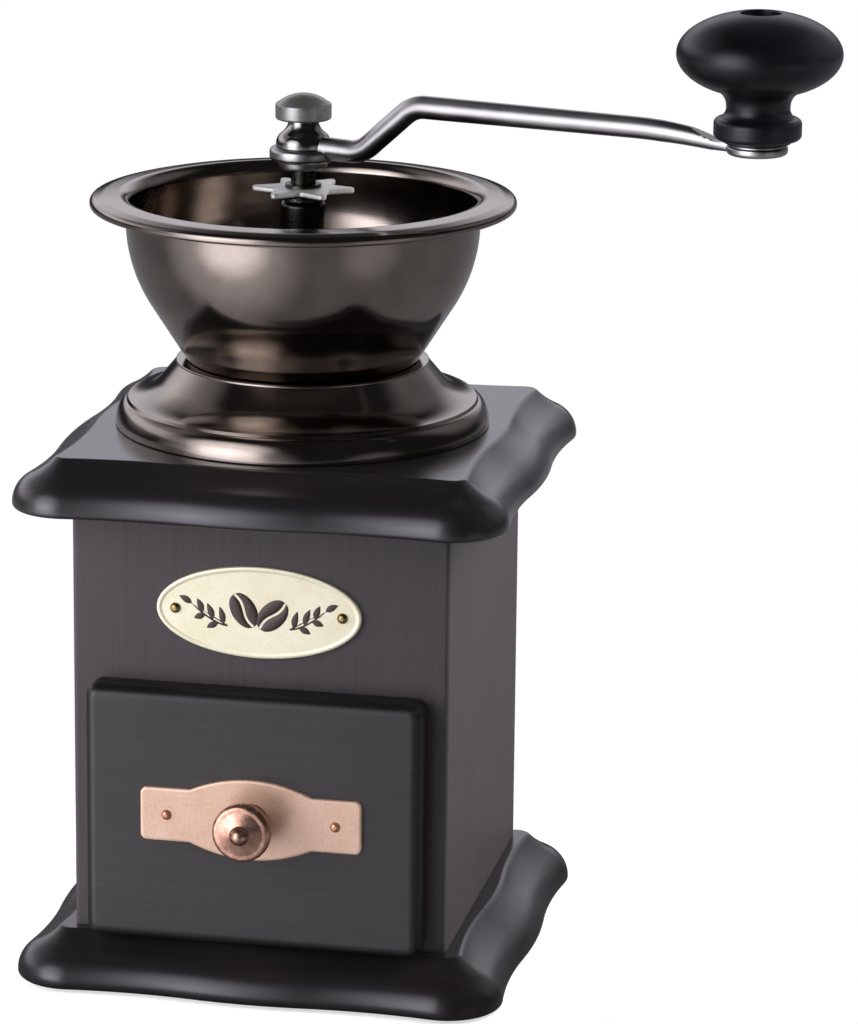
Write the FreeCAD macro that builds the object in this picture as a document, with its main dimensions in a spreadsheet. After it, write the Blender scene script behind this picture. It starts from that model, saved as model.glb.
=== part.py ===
"""Hand-cranked box coffee mill, in millimetres.

+Z is up and the drawer faces -Y. The origin is the middle of the face that the mill stands on.
Every driving dimension is a cell of the sheet "Sizes". A Size carries a number, which draws the
first shape, and a formula of those cells, which binds the shape to the sheet.
"""
import FreeCAD
import Part
import Sketcher
import math
import os

SIZES = {
    # Plates with the wavy moulded edge
    "felt_thickness": 0.6,
    "felt_width": 98.0,
    "plate_thickness": 12.4,
    "plate_half_width": 60.4,
    "wave_depth": 1.45,
    "wave_quarter": 27.9,
    "moulding_width": 10.4,
    "moulding_low_round": 1.2,
    "moulding_nose_round": 7.6,
    "moulding_nose_angle": 64.0,
    "moulding_cove_sag": 0.31,
    "flat_corner_round": 3.2,
    # How far a cut starts outside the face that it enters
    "cut_overshoot": 1.0,
    # Box
    "body_width": 92.0,
    "body_height": 105.6,
    "panel_thickness": 7.0,
    "panel_edge_round": 1.0,
    "drawer_gap": 0.4,
    "drawer_opening_width": 74.0,
    "drawer_opening_height": 52.0,
    # Screws and dowels of the box
    "wood_screw_radius": 1.5,
    "wood_screw_head_radius": 3.2,
    "wood_screw_head_height": 1.7,
    "wood_screw_bite": 12.0,
    "base_screw_spread": 26.0,
    "dowel_radius": 2.0,
    "dowel_half_length": 8.0,
    "dowel_spread": 26.0,
    # Oval plate on the front
    "oval_half_length": 25.0,
    "oval_half_height": 11.25,
    "oval_end_radius": 7.0,
    "oval_gap": 7.25,
    "trim_thickness": 0.9,
    "oval_pin_spread": 20.4,
    "pin_radius": 0.7,
    "pin_head_radius": 1.3,
    "pin_head_height": 0.7,
    "pin_bite": 4.0,
    # Drawer
    "drawer_front_width": 82.4,
    "drawer_front_height": 63.2,
    "drawer_front_thickness": 8.0,
    "drawer_front_gap": 0.3,
    "drawer_front_corner": 3.2,
    "drawer_front_round": 2.6,
    "drawer_side_thickness": 4.5,
    "drawer_side_height": 50.0,
    "drawer_length": 80.0,
    "drawer_bottom_thickness": 3.0,
    "drawer_bottom_lift": 2.0,
    "pull_height": 45.8,
    "pull_half_length": 27.1,
    "pull_half_height": 6.6,
    "pull_corner": 1.6,
    "pull_bulge_half_length": 15.0,
    "pull_bulge_half_height": 10.0,
    "pull_pin_spread": 20.7,
    "drawer_knob_foot": 4.4,
    "drawer_knob_neck": 2.9,
    "drawer_knob_disc": 7.1,
    "drawer_knob_stem": 7.0,
    "drawer_knob_disc_depth": 3.4,
    "drawer_knob_ball": 2.4,
    "drawer_knob_edge": 1.1,
    "drawer_knob_neck_sag": 0.7,
    "drawer_knob_face_sag": 0.3,
    "drawer_knob_screw_radius": 1.6,
    "drawer_knob_screw_bite": 8.0,
    "drawer_knob_screw_head": 3.4,
    "drawer_knob_screw_head_depth": 2.0,
    # Burr housing
    "housing_bore": 19.0,
    "housing_wall": 4.5,
    "housing_drop": 34.6,
    "housing_outlet": 17.2,
    "housing_flange_radius": 36.0,
    "housing_flange_thickness": 3.0,
    "housing_collar_radius": 28.4,
    "housing_collar_thickness": 4.0,
    "housing_screw_circle": 30.5,
    "housing_screw_bite": 9.0,
    # Hopper
    "neck_height": 16.0,
    "hopper_wall": 1.3,
    "hopper_foot_radius": 29.4,
    "hopper_foot_height": 2.5,
    "hopper_foot_rise": 0.3,
    "hopper_foot_sag": 0.8,
    "hopper_wall_radius": 43.0,
    "hopper_bend_radius": 38.0,
    "hopper_cone_angle": 32.5,
    "hopper_bend_height": 50.4,
    "hopper_wall_height": 53.6,
    "hopper_rim_radius": 51.7,
    "hopper_rim_underside": 53.9,
    "hopper_rim_fillet": 2.0,
    "hopper_rim_edge": 1.1,
    "skirt_neck_radius": 30.9,
    "skirt_neck_drop": 1.2,
    "skirt_cove_radius": 14.0,
    "skirt_cove_end_radius": 42.6,
    "skirt_cove_end_height": 7.2,
    "skirt_bead_radius": 44.2,
    "skirt_bead_height": 4.4,
    "skirt_rim_radius": 45.7,
    "skirt_rim_height": 3.4,
    "skirt_bead_round": 1.8,
    "skirt_round": 1.5,
    # Bearings of the shaft
    "bridge_half_length": 26.0,
    "bridge_half_width": 6.0,
    "bridge_thickness": 3.0,
    "bridge_screw_spread": 22.6,
    "machine_screw_radius": 1.5,
    "machine_screw_head_radius": 2.8,
    "machine_screw_head_height": 1.8,
    "machine_screw_dome_height": 0.8,
    "machine_screw_bite": 3.0,
    "post_radius": 5.5,
    "post_spigot_radius": 4.6,
    "post_top_round": 1.2,
    "running_gap": 0.05,
    "bush_radius": 4.6,
    "bush_flange_radius": 6.0,
    "bush_flange_thickness": 1.0,
    "lower_bridge_half_length": 22.4,
    "lower_bridge_half_width": 6.5,
    "lower_bridge_thickness": 3.2,
    "lower_screw_spread": 20.3,
    "lower_screw_bite": 2.5,
    # Shaft and burrs
    "shaft_radius": 3.0,
    "shaft_foot": 90.5,
    "shaft_square": 4.2,
    "shaft_square_gap": 0.05,
    "shaft_stud_radius": 2.1,
    "shaft_flat_depth": 0.6,
    "shaft_flat_length": 12.0,
    "burr_foot": 100.0,
    "burr_height": 18.0,
    "outer_burr_top_radius": 12.3,
    "outer_burr_foot_radius": 15.7,
    "inner_burr_top_radius": 8.4,
    "inner_burr_foot_radius": 14.9,
    "inner_burr_overlap": 1.0,
    "tooth_depth": 1.6,
    "tooth_twist_angle": 26.0,
    "burr_nut_width": 10.0,
    "burr_nut_height": 2.4,
    "spring_washer_radius": 6.6,
    "spring_washer_thickness": 1.0,
    "spring_coil_radius": 5.0,
    "spring_wire_radius": 0.5,
    "spring_turns": 6.0,
    # Adjusting wheel and its washer
    "thrust_washer_radius": 4.8,
    "thrust_washer_thickness": 0.9,
    "wheel_gap": 0.2,
    "wheel_hub_radius": 4.4,
    "wheel_hub_height": 3.0,
    "wheel_plate_lift": 0.8,
    "wheel_plate_thickness": 1.3,
    "wheel_tip_radius": 13.2,
    "wheel_valley_radius": 7.2,
    "wheel_angle": 6.0,
    # Crank
    "crank_angle": 22.0,
    "crank_radius": 124.8,
    "eye_foot": 195.9,
    "eye_thickness": 3.3,
    "eye_radius": 8.2,
    "eye_boss_radius": 5.8,
    "eye_boss_height": 1.8,
    "crank_clearance": 3.8,
    "eye_round": 1.1,
    "rod_radius": 2.75,
    "rod_bow_radius": 2.5,
    "rod_bow_height": 1.6,
    "rod_bow_back": 24.8,
    "rod_tip_radius": 1.7,
    "rod_root_lift": 3.5,
    "rod_root_start": 6.85,
    "rod_bend_start": 16.8,
    "rod_bend_end": 31.8,
    "rod_rise": 16.3,
    "rod_bend_radius": 8.0,
    "rod_level_start": 40.0,
    "knob_eye_radius": 7.0,
    "knob_eye_thickness": 2.1,
    "knob_eye_drop": 1.4,
    "bell_top_radius": 3.6,
    "bell_radius": 6.65,
    "bell_height": 6.75,
    "bell_lip": 0.8,
    "bell_lip_round": 3.2,
    "bell_shoulder_radius": 5.3,
    "bell_shoulder_height": 3.4,
    "bell_hollow": 0.45,
    "cap_radius": 6.8,
    "cap_rim_height": 4.0,
    "cap_dome_height": 2.3,
    "cap_bore_depth": 4.2,
    # Crank knob
    "knob_washer_radius": 6.6,
    "knob_washer_thickness": 0.3,
    "knob_gap": 0.3,
    "knob_side_gap": 0.5,
    "knob_pin_radius": 2.4,
    "knob_pin_head_radius": 3.9,
    "knob_pin_head_height": 3.0,
    "knob_hole_radius": 4.6,
    "knob_hole_depth": 9.0,
    "knob_low_ring_radius": 7.7,
    "knob_low_ring_height": 0.8,
    "knob_foot_radius": 10.0,
    "knob_foot_height": 5.6,
    "knob_neck_radius": 7.3,
    "knob_neck_height": 8.8,
    "knob_flare_radius": 14.2,
    "knob_flare_height": 13.7,
    "knob_radius": 18.8,
    "knob_widest_height": 20.2,
    "knob_shoulder_radius": 15.8,
    "knob_shoulder_height": 25.4,
    "knob_height": 29.6,
    "knob_foot_round": 1.2,
    "knob_waist_sag": 0.6,
    "knob_throat_sag": 0.7,
    "knob_under_sag": 1.27,
    "knob_side_sag": 0.8,
    "knob_over_sag": 0.49,
}

BURR_TEETH = 12
BURR_SECTIONS = 3
WHEEL_POINTS = 6
NUT_SIDES = 6
QUARTERS = 4
SPRING_STEPS_PER_TURN = 4
LEAST_SPRING_GAP = 0.4
# Share of the flat's corner round that the moulding's tongue takes up
TONGUE_SHARE = 0.8
# Share of a burr tooth's pitch that its long flank takes up
FLANK_SHARE = 0.7


class Size:
    """A number with the formula of sheet cells that it comes from."""

    def __init__(self, number, formula):
        self.number = float(number)
        self.formula = formula

    def __add__(self, other):
        other = as_size(other)
        return Size(self.number + other.number, f"({self.formula} + {other.formula})")

    def __sub__(self, other):
        other = as_size(other)
        return Size(self.number - other.number, f"({self.formula} - {other.formula})")

    def __mul__(self, other):
        other = as_size(other)
        return Size(self.number * other.number, f"({self.formula} * {other.formula})")

    def __truediv__(self, other):
        other = as_size(other)
        return Size(self.number / other.number, f"({self.formula} / {other.formula})")

    def __neg__(self):
        return Size(-self.number, f"(0 - {self.formula})")

    def __rsub__(self, other):
        return as_size(other) - self

    __radd__ = __add__
    __rmul__ = __mul__


def as_size(value):
    """A plain number as a Size, so that both mix in formulas."""
    if isinstance(value, Size):
        return value
    return Size(value, f"({float(value):.6f})")


def root(size):
    return Size(math.sqrt(size.number), f"sqrt({size.formula})")


def sine(angle):
    angle = as_size(angle)
    return Size(math.sin(math.radians(angle.number)), f"sin({angle.formula})")


def cosine(angle):
    angle = as_size(angle)
    return Size(math.cos(math.radians(angle.number)), f"cos({angle.formula})")


def polar(radius, angle):
    """The point at that radius and angle, in degrees."""
    return (radius * cosine(angle), radius * sine(angle))


def quarter_turn(point):
    return (-point[1], point[0])


def swap(point):
    return (point[1], point[0])


def mirror_x(point):
    return (-point[0], point[1])


def arc_radius(chord, sag):
    """Radius of the arc that stands sag off the middle of its chord."""
    return (chord * chord / 4 + sag * sag) / (sag * 2)


def distance(first, second):
    across = second[0] - first[0]
    up = second[1] - first[1]
    return root(across * across + up * up)


doc = FreeCAD.newDocument("CoffeeMill")
sheet = doc.addObject("Spreadsheet::Sheet", "Sizes")
for row, (name, value) in enumerate(SIZES.items(), start=1):
    sheet.set(f"A{row}", name)
    sheet.set(f"B{row}", str(value))
    sheet.setAlias(f"B{row}", name)
doc.recompute()

nodes = []


def size(name):
    """A driving dimension, read from its cell."""
    return Size(sheet.get(name), f"Sizes.{name}")


def new_body(label, swung=False):
    """A body; the crank's bodies are drawn along +X and swung round to the crank's rest place."""
    body = doc.addObject("PartDesign::Body", label)
    if swung:
        clockwise = FreeCAD.Rotation(FreeCAD.Vector(0, 0, -1), size("crank_angle").number)
        body.Placement = FreeCAD.Placement(FreeCAD.Vector(), clockwise)
        body.setExpression("Placement.Rotation.Angle", size("crank_angle").formula)
    return body


def finish(body):
    """Keep the body as a node of the mill."""
    doc.recompute()
    nodes.append(body)
    return body


def new_sketch(body, plane, spot=(0, 0, 0)):
    """An empty sketch on one of the body's own planes, its origin moved to spot in that plane's axes."""
    sketch = body.newObject("Sketcher::SketchObject", f"{body.Name}_sketch")
    support = [feature for feature in body.Origin.OriginFeatures if feature.Role == plane][0]
    sketch.AttachmentSupport = [(support, "")]
    sketch.MapMode = "FlatFace"
    for axis, shift in zip("xyz", spot):
        sketch.setExpression(f"AttachmentOffset.Base.{axis}", as_size(shift).formula)
    return sketch


def vector(point):
    return FreeCAD.Vector(as_size(point[0]).number, as_size(point[1]).number, 0)


def bind(sketch, constraint, formula):
    index = sketch.addConstraint(constraint)
    sketch.setExpression(f"Constraints[{index}]", formula)


def pin_point(sketch, edge, end, point):
    """Hold one end of an edge at its coordinates."""
    across, up = as_size(point[0]), as_size(point[1])
    if across.number == 0:
        sketch.addConstraint(Sketcher.Constraint("PointOnObject", edge, end, -2))
    else:
        bind(sketch, Sketcher.Constraint("DistanceX", -1, 1, edge, end, across.number), across.formula)
    if up.number == 0:
        sketch.addConstraint(Sketcher.Constraint("PointOnObject", edge, end, -1))
    else:
        bind(sketch, Sketcher.Constraint("DistanceY", -1, 1, edge, end, up.number), up.formula)


def draw_edge(sketch, start, end, radius):
    """A line, or an arc that turns left for a positive radius; gives its index and its end numbers."""
    first, last = vector(start), vector(end)
    if radius is None:
        return sketch.addGeometry(Part.LineSegment(first, last), False), 1, 2
    reach = as_size(radius).number
    if reach < 0:
        first, last = last, first
    chord = last - first
    left = FreeCAD.Vector(-chord.y, chord.x, 0).normalize()
    stand_off = math.sqrt(max(reach * reach - chord.Length ** 2 / 4, 0.0))
    centre = (first + last) / 2 + left * stand_off
    start_angle = math.atan2(first.y - centre.y, first.x - centre.x)
    end_angle = math.atan2(last.y - centre.y, last.x - centre.x)
    circle = Part.Circle(centre, FreeCAD.Vector(0, 0, 1), abs(reach))
    index = sketch.addGeometry(Part.ArcOfCircle(circle, start_angle, end_angle), False)
    bind(sketch, Sketcher.Constraint("Radius", index, abs(reach)),
         (as_size(radius) if reach > 0 else -as_size(radius)).formula)
    return (index, 1, 2) if reach > 0 else (index, 2, 1)


def draw_outline(sketch, corners, closed=True):
    """Edges through corners; each corner is (across, up) or (across, up, radius of the edge after it)."""
    count = len(corners)
    edges = []
    for place in range(count if closed else count - 1):
        corner = corners[place]
        radius = corner[2] if len(corner) > 2 else None
        edges.append(draw_edge(sketch, corner, corners[(place + 1) % count], radius))
    for place, (index, start, end) in enumerate(edges):
        pin_point(sketch, index, start, corners[place])
        if closed or place + 1 < len(edges):
            after = edges[(place + 1) % len(edges)]
            sketch.addConstraint(Sketcher.Constraint("Coincident", index, end, after[0], after[1]))
        else:
            pin_point(sketch, index, end, corners[-1])


def draw_circle(sketch, centre, radius):
    radius = as_size(radius)
    circle = Part.Circle(vector(centre), FreeCAD.Vector(0, 0, 1), radius.number)
    index = sketch.addGeometry(circle, False)
    bind(sketch, Sketcher.Constraint("Radius", index, radius.number), radius.formula)
    pin_point(sketch, index, 3, centre)


def rectangle(left, bottom, right, top):
    return [(left, bottom), (right, bottom), (right, top), (left, top)]


def rounded_rectangle(half_width, half_height, corner, up=0):
    """A rectangle about the point up the vertical axis, with quarter-round corners."""
    inner_width, inner_height = half_width - corner, half_height - corner
    return [(-inner_width, up - half_height), (inner_width, up - half_height, corner),
            (half_width, up - inner_height), (half_width, up + inner_height, corner),
            (inner_width, up + half_height), (-inner_width, up + half_height, corner),
            (-half_width, up + inner_height), (-half_width, up - inner_height, corner)]


def pad(body, sketch, length, backward=False):
    feature = body.newObject("PartDesign::Pad", f"{body.Name}_pad")
    feature.Profile = sketch
    feature.Reversed = backward
    feature.setExpression("Length", as_size(length).formula)
    doc.recompute()
    return feature


def revolve(body, sketch, axis):
    feature = body.newObject("PartDesign::Revolution", f"{body.Name}_turning")
    feature.Profile = sketch
    feature.ReferenceAxis = (sketch, [axis])
    doc.recompute()
    return feature


def checked_cut(body, feature, before):
    """A cut that removes nothing is an error."""
    doc.recompute()
    if not body.Shape.Volume < before:
        raise RuntimeError(f"{feature.Name} cuts nothing")
    return feature


def pocket(body, sketch, depth, backward=False):
    before = body.Shape.Volume
    feature = body.newObject("PartDesign::Pocket", f"{body.Name}_pocket")
    feature.Profile = sketch
    feature.Reversed = backward
    feature.setExpression("Length", as_size(depth).formula)
    return checked_cut(body, feature, before)


def groove(body, sketch, axis):
    before = body.Shape.Volume
    feature = body.newObject("PartDesign::Groove", f"{body.Name}_groove")
    feature.Profile = sketch
    feature.ReferenceAxis = (sketch, [axis])
    return checked_cut(body, feature, before)


def axis_spot(x, y):
    """Where a sketch on the XZ plane stands so that its vertical axis is the upright line at x, y."""
    return (x, 0, -as_size(y))


def turned(label, corners, spot=(0, 0, 0), swung=False):
    """A piece turned about an upright axis; corners are (radius, height)."""
    body = new_body(label, swung)
    sketch = new_sketch(body, "XZ_Plane", spot)
    draw_outline(sketch, corners)
    revolve(body, sketch, "V_Axis")
    return body


def turned_facing_front(label, corners, x, z):
    """A piece turned about a front-to-back axis; corners are (y, radius)."""
    body = new_body(label)
    sketch = new_sketch(body, "YZ_Plane", (0, z, x))
    draw_outline(sketch, corners)
    revolve(body, sketch, "H_Axis")
    return body


def bore_upright(body, corners, x, y):
    """Cut a turned hole about the upright line at x, y; corners are (radius, height)."""
    sketch = new_sketch(body, "XZ_Plane", axis_spot(x, y))
    draw_outline(sketch, corners)
    groove(body, sketch, "V_Axis")


def rod_section(radius, foot, top):
    """Half section of a plain upright rod or hole."""
    return [(0, foot), (radius, foot), (radius, top), (0, top)]


def drill(body, radius, foot, top, x=0, y=0):
    """Cut a plain round hole along the upright line at x, y."""
    bore_upright(body, rod_section(radius, foot, top), x, y)


def bore_facing_front(body, radius, start, end, x, z):
    """Cut a plain round hole along Y from start to end."""
    sketch = new_sketch(body, "YZ_Plane", (0, z, x))
    draw_outline(sketch, [(start, 0), (end, 0), (end, radius), (start, radius)])
    groove(body, sketch, "H_Axis")


def prism(label, corners, foot, height, swung=False):
    """An upright prism on a plan outline."""
    body = new_body(label, swung)
    sketch = new_sketch(body, "XY_Plane", (0, 0, foot))
    draw_outline(sketch, corners)
    pad(body, sketch, height)
    return body


def group(label, bodies):
    """Identical fasteners as one node of separate solids."""
    compound = doc.addObject("Part::Compound", label)
    compound.Links = bodies
    return finish(compound)


# Sizes and places that several pieces share
overshoot = size("cut_overshoot")
base_foot = size("felt_thickness")
base_top = base_foot + size("plate_thickness")
body_top = base_top + size("body_height")
top_face = body_top + size("plate_thickness")
neck_top = top_face + size("neck_height")
body_half = size("body_width") / 2
inner_half = body_half - size("panel_thickness")
panel_middle = body_half - size("panel_thickness") / 2
bridge_foot = neck_top + size("hopper_wall")
bridge_top = bridge_foot + size("bridge_thickness")
housing_foot = body_top - size("housing_drop") + size("plate_thickness")
burr_top = size("burr_foot") + size("burr_height")
drawer_back_face = body_half + size("drawer_front_gap")
drawer_face = drawer_back_face + size("drawer_front_thickness")
drawer_foot = base_top + size("drawer_gap")
box_half = size("drawer_opening_width") / 2 - size("drawer_gap")
rod_height = size("eye_foot") + size("rod_rise")
wheel_top = size("eye_foot") - size("eye_boss_height") - size("crank_clearance")
wheel_foot = wheel_top - size("wheel_hub_height")
washer_foot = wheel_foot - size("wheel_gap") - size("thrust_washer_thickness")
post_top = washer_foot - size("wheel_gap")
oval_height = drawer_foot + size("drawer_front_height") + size("oval_gap") + size("oval_half_height")


# Wavy plates


def wavy_edge():
    """Plan outline of the plates: per side a bulge in the middle and a hollow each side of it, then a
    round corner. All arcs are tangent; the bulges and hollows share one radius."""
    half, depth, quarter = size("plate_half_width"), size("wave_depth"), size("wave_quarter")
    corner = size("moulding_width") + size("flat_corner_round")
    wave = (quarter * quarter + depth * depth) / (depth * 4)
    hollow_x, hollow_y = quarter, half - depth + wave
    reach = wave + corner
    spread = hollow_y - hollow_x
    centre = (hollow_x + hollow_y - root(reach * reach * 2 - spread * spread)) / 2
    bulge_end = (quarter / 2, half - depth / 2)
    share = corner / reach
    hollow_end = (centre + (hollow_x - centre) * share, centre + (hollow_y - centre) * share)
    corners = []
    run = [((half, as_size(0)), wave), (swap(bulge_end), -wave), (swap(hollow_end), corner),
           (hollow_end, -wave), (bulge_end, wave)]
    for _ in range(QUARTERS):
        corners += [(*point, radius) for point, radius in run]
        run = [(quarter_turn(point), radius) for point, radius in run]
    return corners


def moulding(foot):
    """Section of the edge: low round, round nose, hollow slope to the flat, then a tongue into the core."""
    half, thick = size("plate_half_width"), size("plate_thickness")
    low, nose, sweep = size("moulding_low_round"), size("moulding_nose_round"), size("moulding_nose_angle")
    flat_edge = (half - size("moulding_width"), foot + thick)
    nose_end = (half - nose + nose * cosine(sweep), foot + low + nose * sine(sweep))
    cove = arc_radius(distance(nose_end, flat_edge), size("moulding_cove_sag"))
    tongue = flat_edge[0] - size("flat_corner_round") * TONGUE_SHARE
    return [(half - low, foot, low), (half, foot + low, nose), (*nose_end, -cove), flat_edge,
            (tongue, foot + thick), (tongue, foot)]


def wavy_plate(label, foot):
    """A board with the moulding swept round its edge and a square core that fills it."""
    body = new_body(label)
    path = new_sketch(body, "XY_Plane", (0, 0, foot))
    draw_outline(path, wavy_edge())
    section = new_sketch(body, "XZ_Plane")
    draw_outline(section, moulding(foot))
    sweep = body.newObject("PartDesign::AdditivePipe", f"{label}_moulding")
    sweep.Profile = section
    sweep.Spine = (path, [])
    doc.recompute()
    tongue_share = (size("wave_depth") + size("flat_corner_round") * TONGUE_SHARE) / 2
    half = size("plate_half_width") - size("moulding_width") - tongue_share
    core = new_sketch(body, "XY_Plane", (0, 0, foot))
    draw_outline(core, rectangle(-half, -half, half, half))
    pad(body, core, size("plate_thickness"))
    return body


def box_corners(x, y):
    """The four places at plus and minus x and y."""
    return [(x, y), (-x, y), (-x, -y), (x, -y)]


def wood_screw_outline(foot, bite_end):
    """Half section of a countersunk screw that points up."""
    shank, head = size("wood_screw_radius"), size("wood_screw_head_radius")
    return [(0, foot), (head, foot), (shank, foot + size("wood_screw_head_height")), (shank, bite_end),
            (0, bite_end)]


def felt_pad():
    half = size("felt_width") / 2
    corner = size("moulding_width")
    finish(prism("felt_pad", rounded_rectangle(half, half, corner), 0, size("felt_thickness")))


def base_plate_and_screws():
    body = wavy_plate("base_plate", base_foot)
    outline = wood_screw_outline(base_foot, base_top + size("wood_screw_bite"))
    screws = []
    for place, (x, y) in enumerate(box_corners(panel_middle, size("base_screw_spread")), start=1):
        bore_upright(body, outline, x, y)
        screws.append(turned(f"base_screw_{place}", outline, axis_spot(x, y)))
    finish(body)
    group("base_screws", screws)


def drill_panel(body, spots):
    """Pilot holes for the base screws and blind holes for the dowels, in a side panel."""
    screw_end = base_top + size("wood_screw_bite")
    dowel_foot = body_top - size("dowel_half_length")
    for x, y in spots:
        drill(body, size("wood_screw_radius"), base_top, screw_end, x, y)
        drill(body, size("dowel_radius"), dowel_foot, body_top, x, y)


def side_panel(label, side):
    """The left or right board, between the front and back boards."""
    inner, outer = inner_half * side, body_half * side
    left, right = (inner, outer) if side > 0 else (outer, inner)
    body = prism(label, rectangle(left, -inner_half, right, inner_half), base_top, size("body_height"))
    spread = size("base_screw_spread")
    drill_panel(body, [(panel_middle * side, spread), (panel_middle * side, -spread)])
    finish(body)


def front_panel():
    half, ease = body_half, size("panel_edge_round")
    outline = [(-half, -inner_half), (-half, ease - half, ease), (ease - half, -half),
               (half - ease, -half, ease), (half, ease - half), (half, -inner_half)]
    body = prism("front_panel", outline, base_top, size("body_height"))
    opening = new_sketch(body, "XZ_Plane", (0, 0, body_half * 2))
    wide = size("drawer_opening_width") / 2
    top = base_top + size("drawer_opening_height")
    draw_outline(opening, rectangle(-wide, base_top - overshoot, wide, top))
    pocket(body, opening, size("body_width"))
    for x in (size("oval_pin_spread"), -size("oval_pin_spread")):
        bore_facing_front(body, size("pin_radius"), -body_half - overshoot, size("pin_bite") - body_half, x,
                          oval_height)
    finish(body)


def back_panel():
    half, ease = body_half, size("panel_edge_round")
    outline = [(-half, inner_half), (half, inner_half), (half, half - ease, ease), (half - ease, half),
               (ease - half, half, ease), (-half, half - ease)]
    finish(prism("back_panel", outline, base_top, size("body_height")))


def top_plate_and_dowels():
    body = wavy_plate("top_plate", body_top)
    throat = size("housing_bore") + size("housing_wall")
    hole = new_sketch(body, "XY_Plane", (0, 0, top_face + overshoot))
    draw_circle(hole, (0, 0), throat)
    pocket(body, hole, size("plate_thickness") + overshoot * 2)
    dowel_foot = body_top - size("dowel_half_length")
    dowel_top = body_top + size("dowel_half_length")
    radius = size("dowel_radius")
    dowels = []
    for place, (x, y) in enumerate(box_corners(panel_middle, size("dowel_spread")), start=1):
        drill(body, radius, body_top, dowel_top, x, y)
        dowels.append(turned(f"dowel_{place}", rod_section(radius, dowel_foot, dowel_top), axis_spot(x, y)))
    for x, y in housing_screw_spots():
        drill(body, size("machine_screw_radius"), top_face - size("housing_screw_bite"), top_face, x, y)
    finish(body)
    group("top_dowels", dowels)


def housing_screw_spots():
    reach = size("housing_screw_circle") * cosine(45)
    return box_corners(reach, reach)


# Trim on the front


def oval_outline(half_length, half_height, end_radius, up):
    """Four tangent arcs: two tight ends and two long flanks."""
    across = half_length - end_radius
    flank = ((across * across) + half_height * half_height - end_radius * end_radius) / (
        (half_height - end_radius) * 2)
    lean = flank - end_radius
    touch = (across + end_radius * across / lean, end_radius * (flank - half_height) / lean)
    right_top, right_foot = (touch[0], up + touch[1]), (touch[0], up - touch[1])
    return [(*right_foot, end_radius), (*right_top, flank), (*mirror_x(right_top), end_radius),
            (*mirror_x(right_foot), flank)]


def front_plate(label, outline, face, holes):
    """A thin plate on a front face, with round holes given as (x, z, radius)."""
    body = new_body(label)
    sketch = new_sketch(body, "XZ_Plane", (0, 0, face))
    draw_outline(sketch, outline)
    for x, z, radius in holes:
        draw_circle(sketch, (x, z), radius)
    pad(body, sketch, size("trim_thickness"))
    return finish(body)


def front_pins(label, face, spread, up):
    """Two round-headed pins through a plate on a front face."""
    shank, head, rise = size("pin_radius"), size("pin_head_radius"), size("pin_head_height")
    plate = -face - size("trim_thickness")
    deep = size("pin_bite") - face
    dome = arc_radius(head * 2, rise)
    corners = [(plate - rise, 0, -dome), (plate, head), (plate, shank), (deep, shank), (deep, 0)]
    pins = [turned_facing_front(f"{label}_{place}", corners, x, up)
            for place, x in enumerate((spread, -spread), start=1)]
    group(label, pins)


def name_plate():
    spread, up = size("oval_pin_spread"), oval_height
    outline = oval_outline(size("oval_half_length"), size("oval_half_height"), size("oval_end_radius"), up)
    front_plate("name_plate", outline, body_half, [(x, up, size("pin_radius")) for x in (spread, -spread)])
    front_pins("name_plate_pins", body_half, spread, up)


# Hopper and burr housing


def hopper_bowl():
    """Spun bowl: a foot with a bead, a cone, a bend into an upright wall and a wide flat rim."""
    wall, foot = size("hopper_wall"), neck_top
    angle, bend = size("hopper_cone_angle"), size("hopper_bend_radius")
    side, side_top = size("hopper_wall_radius"), top_face + size("hopper_wall_height")
    bend_top = top_face + size("hopper_bend_height")
    cone_top = (side - bend + bend * cosine(angle), bend_top - bend * sine(angle))
    bead_foot = (size("hopper_foot_radius"), foot)
    bead_top = (bead_foot[0] + size("hopper_foot_rise"), foot + size("hopper_foot_height"))
    bead = arc_radius(distance(bead_foot, bead_top), size("hopper_foot_sag"))
    inner_bend = bend - wall
    inner_cone_top = (side - bend + inner_bend * cosine(angle), bend_top - inner_bend * sine(angle))
    floor = foot + wall
    drop = inner_cone_top[1] - floor
    inner_foot = (inner_cone_top[0] - drop * sine(angle) / cosine(angle), floor)
    rim, edge, fillet = size("hopper_rim_radius"), size("hopper_rim_edge"), size("hopper_rim_fillet")
    rim_foot = top_face + size("hopper_rim_underside")
    rim_top = rim_foot + edge * 2
    corners = [(size("housing_bore"), foot), (*bead_foot, bead), bead_top, (*cone_top, bend),
               (side, bend_top), (side, side_top - fillet, -fillet),
               (side + fillet, side_top), (rim - edge, rim_foot, edge), (rim, rim_foot + edge, edge),
               (rim - edge, rim_top), (side + fillet - wall, rim_top, fillet),
               (side - wall, rim_top - fillet), (side - wall, bend_top, -inner_bend), inner_cone_top,
               inner_foot, (size("housing_bore"), floor)]
    body = turned("hopper_bowl", corners)
    for side in (1, -1):
        drill(body, size("machine_screw_radius"), foot, floor, size("bridge_screw_spread") * side)
    finish(body)


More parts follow.
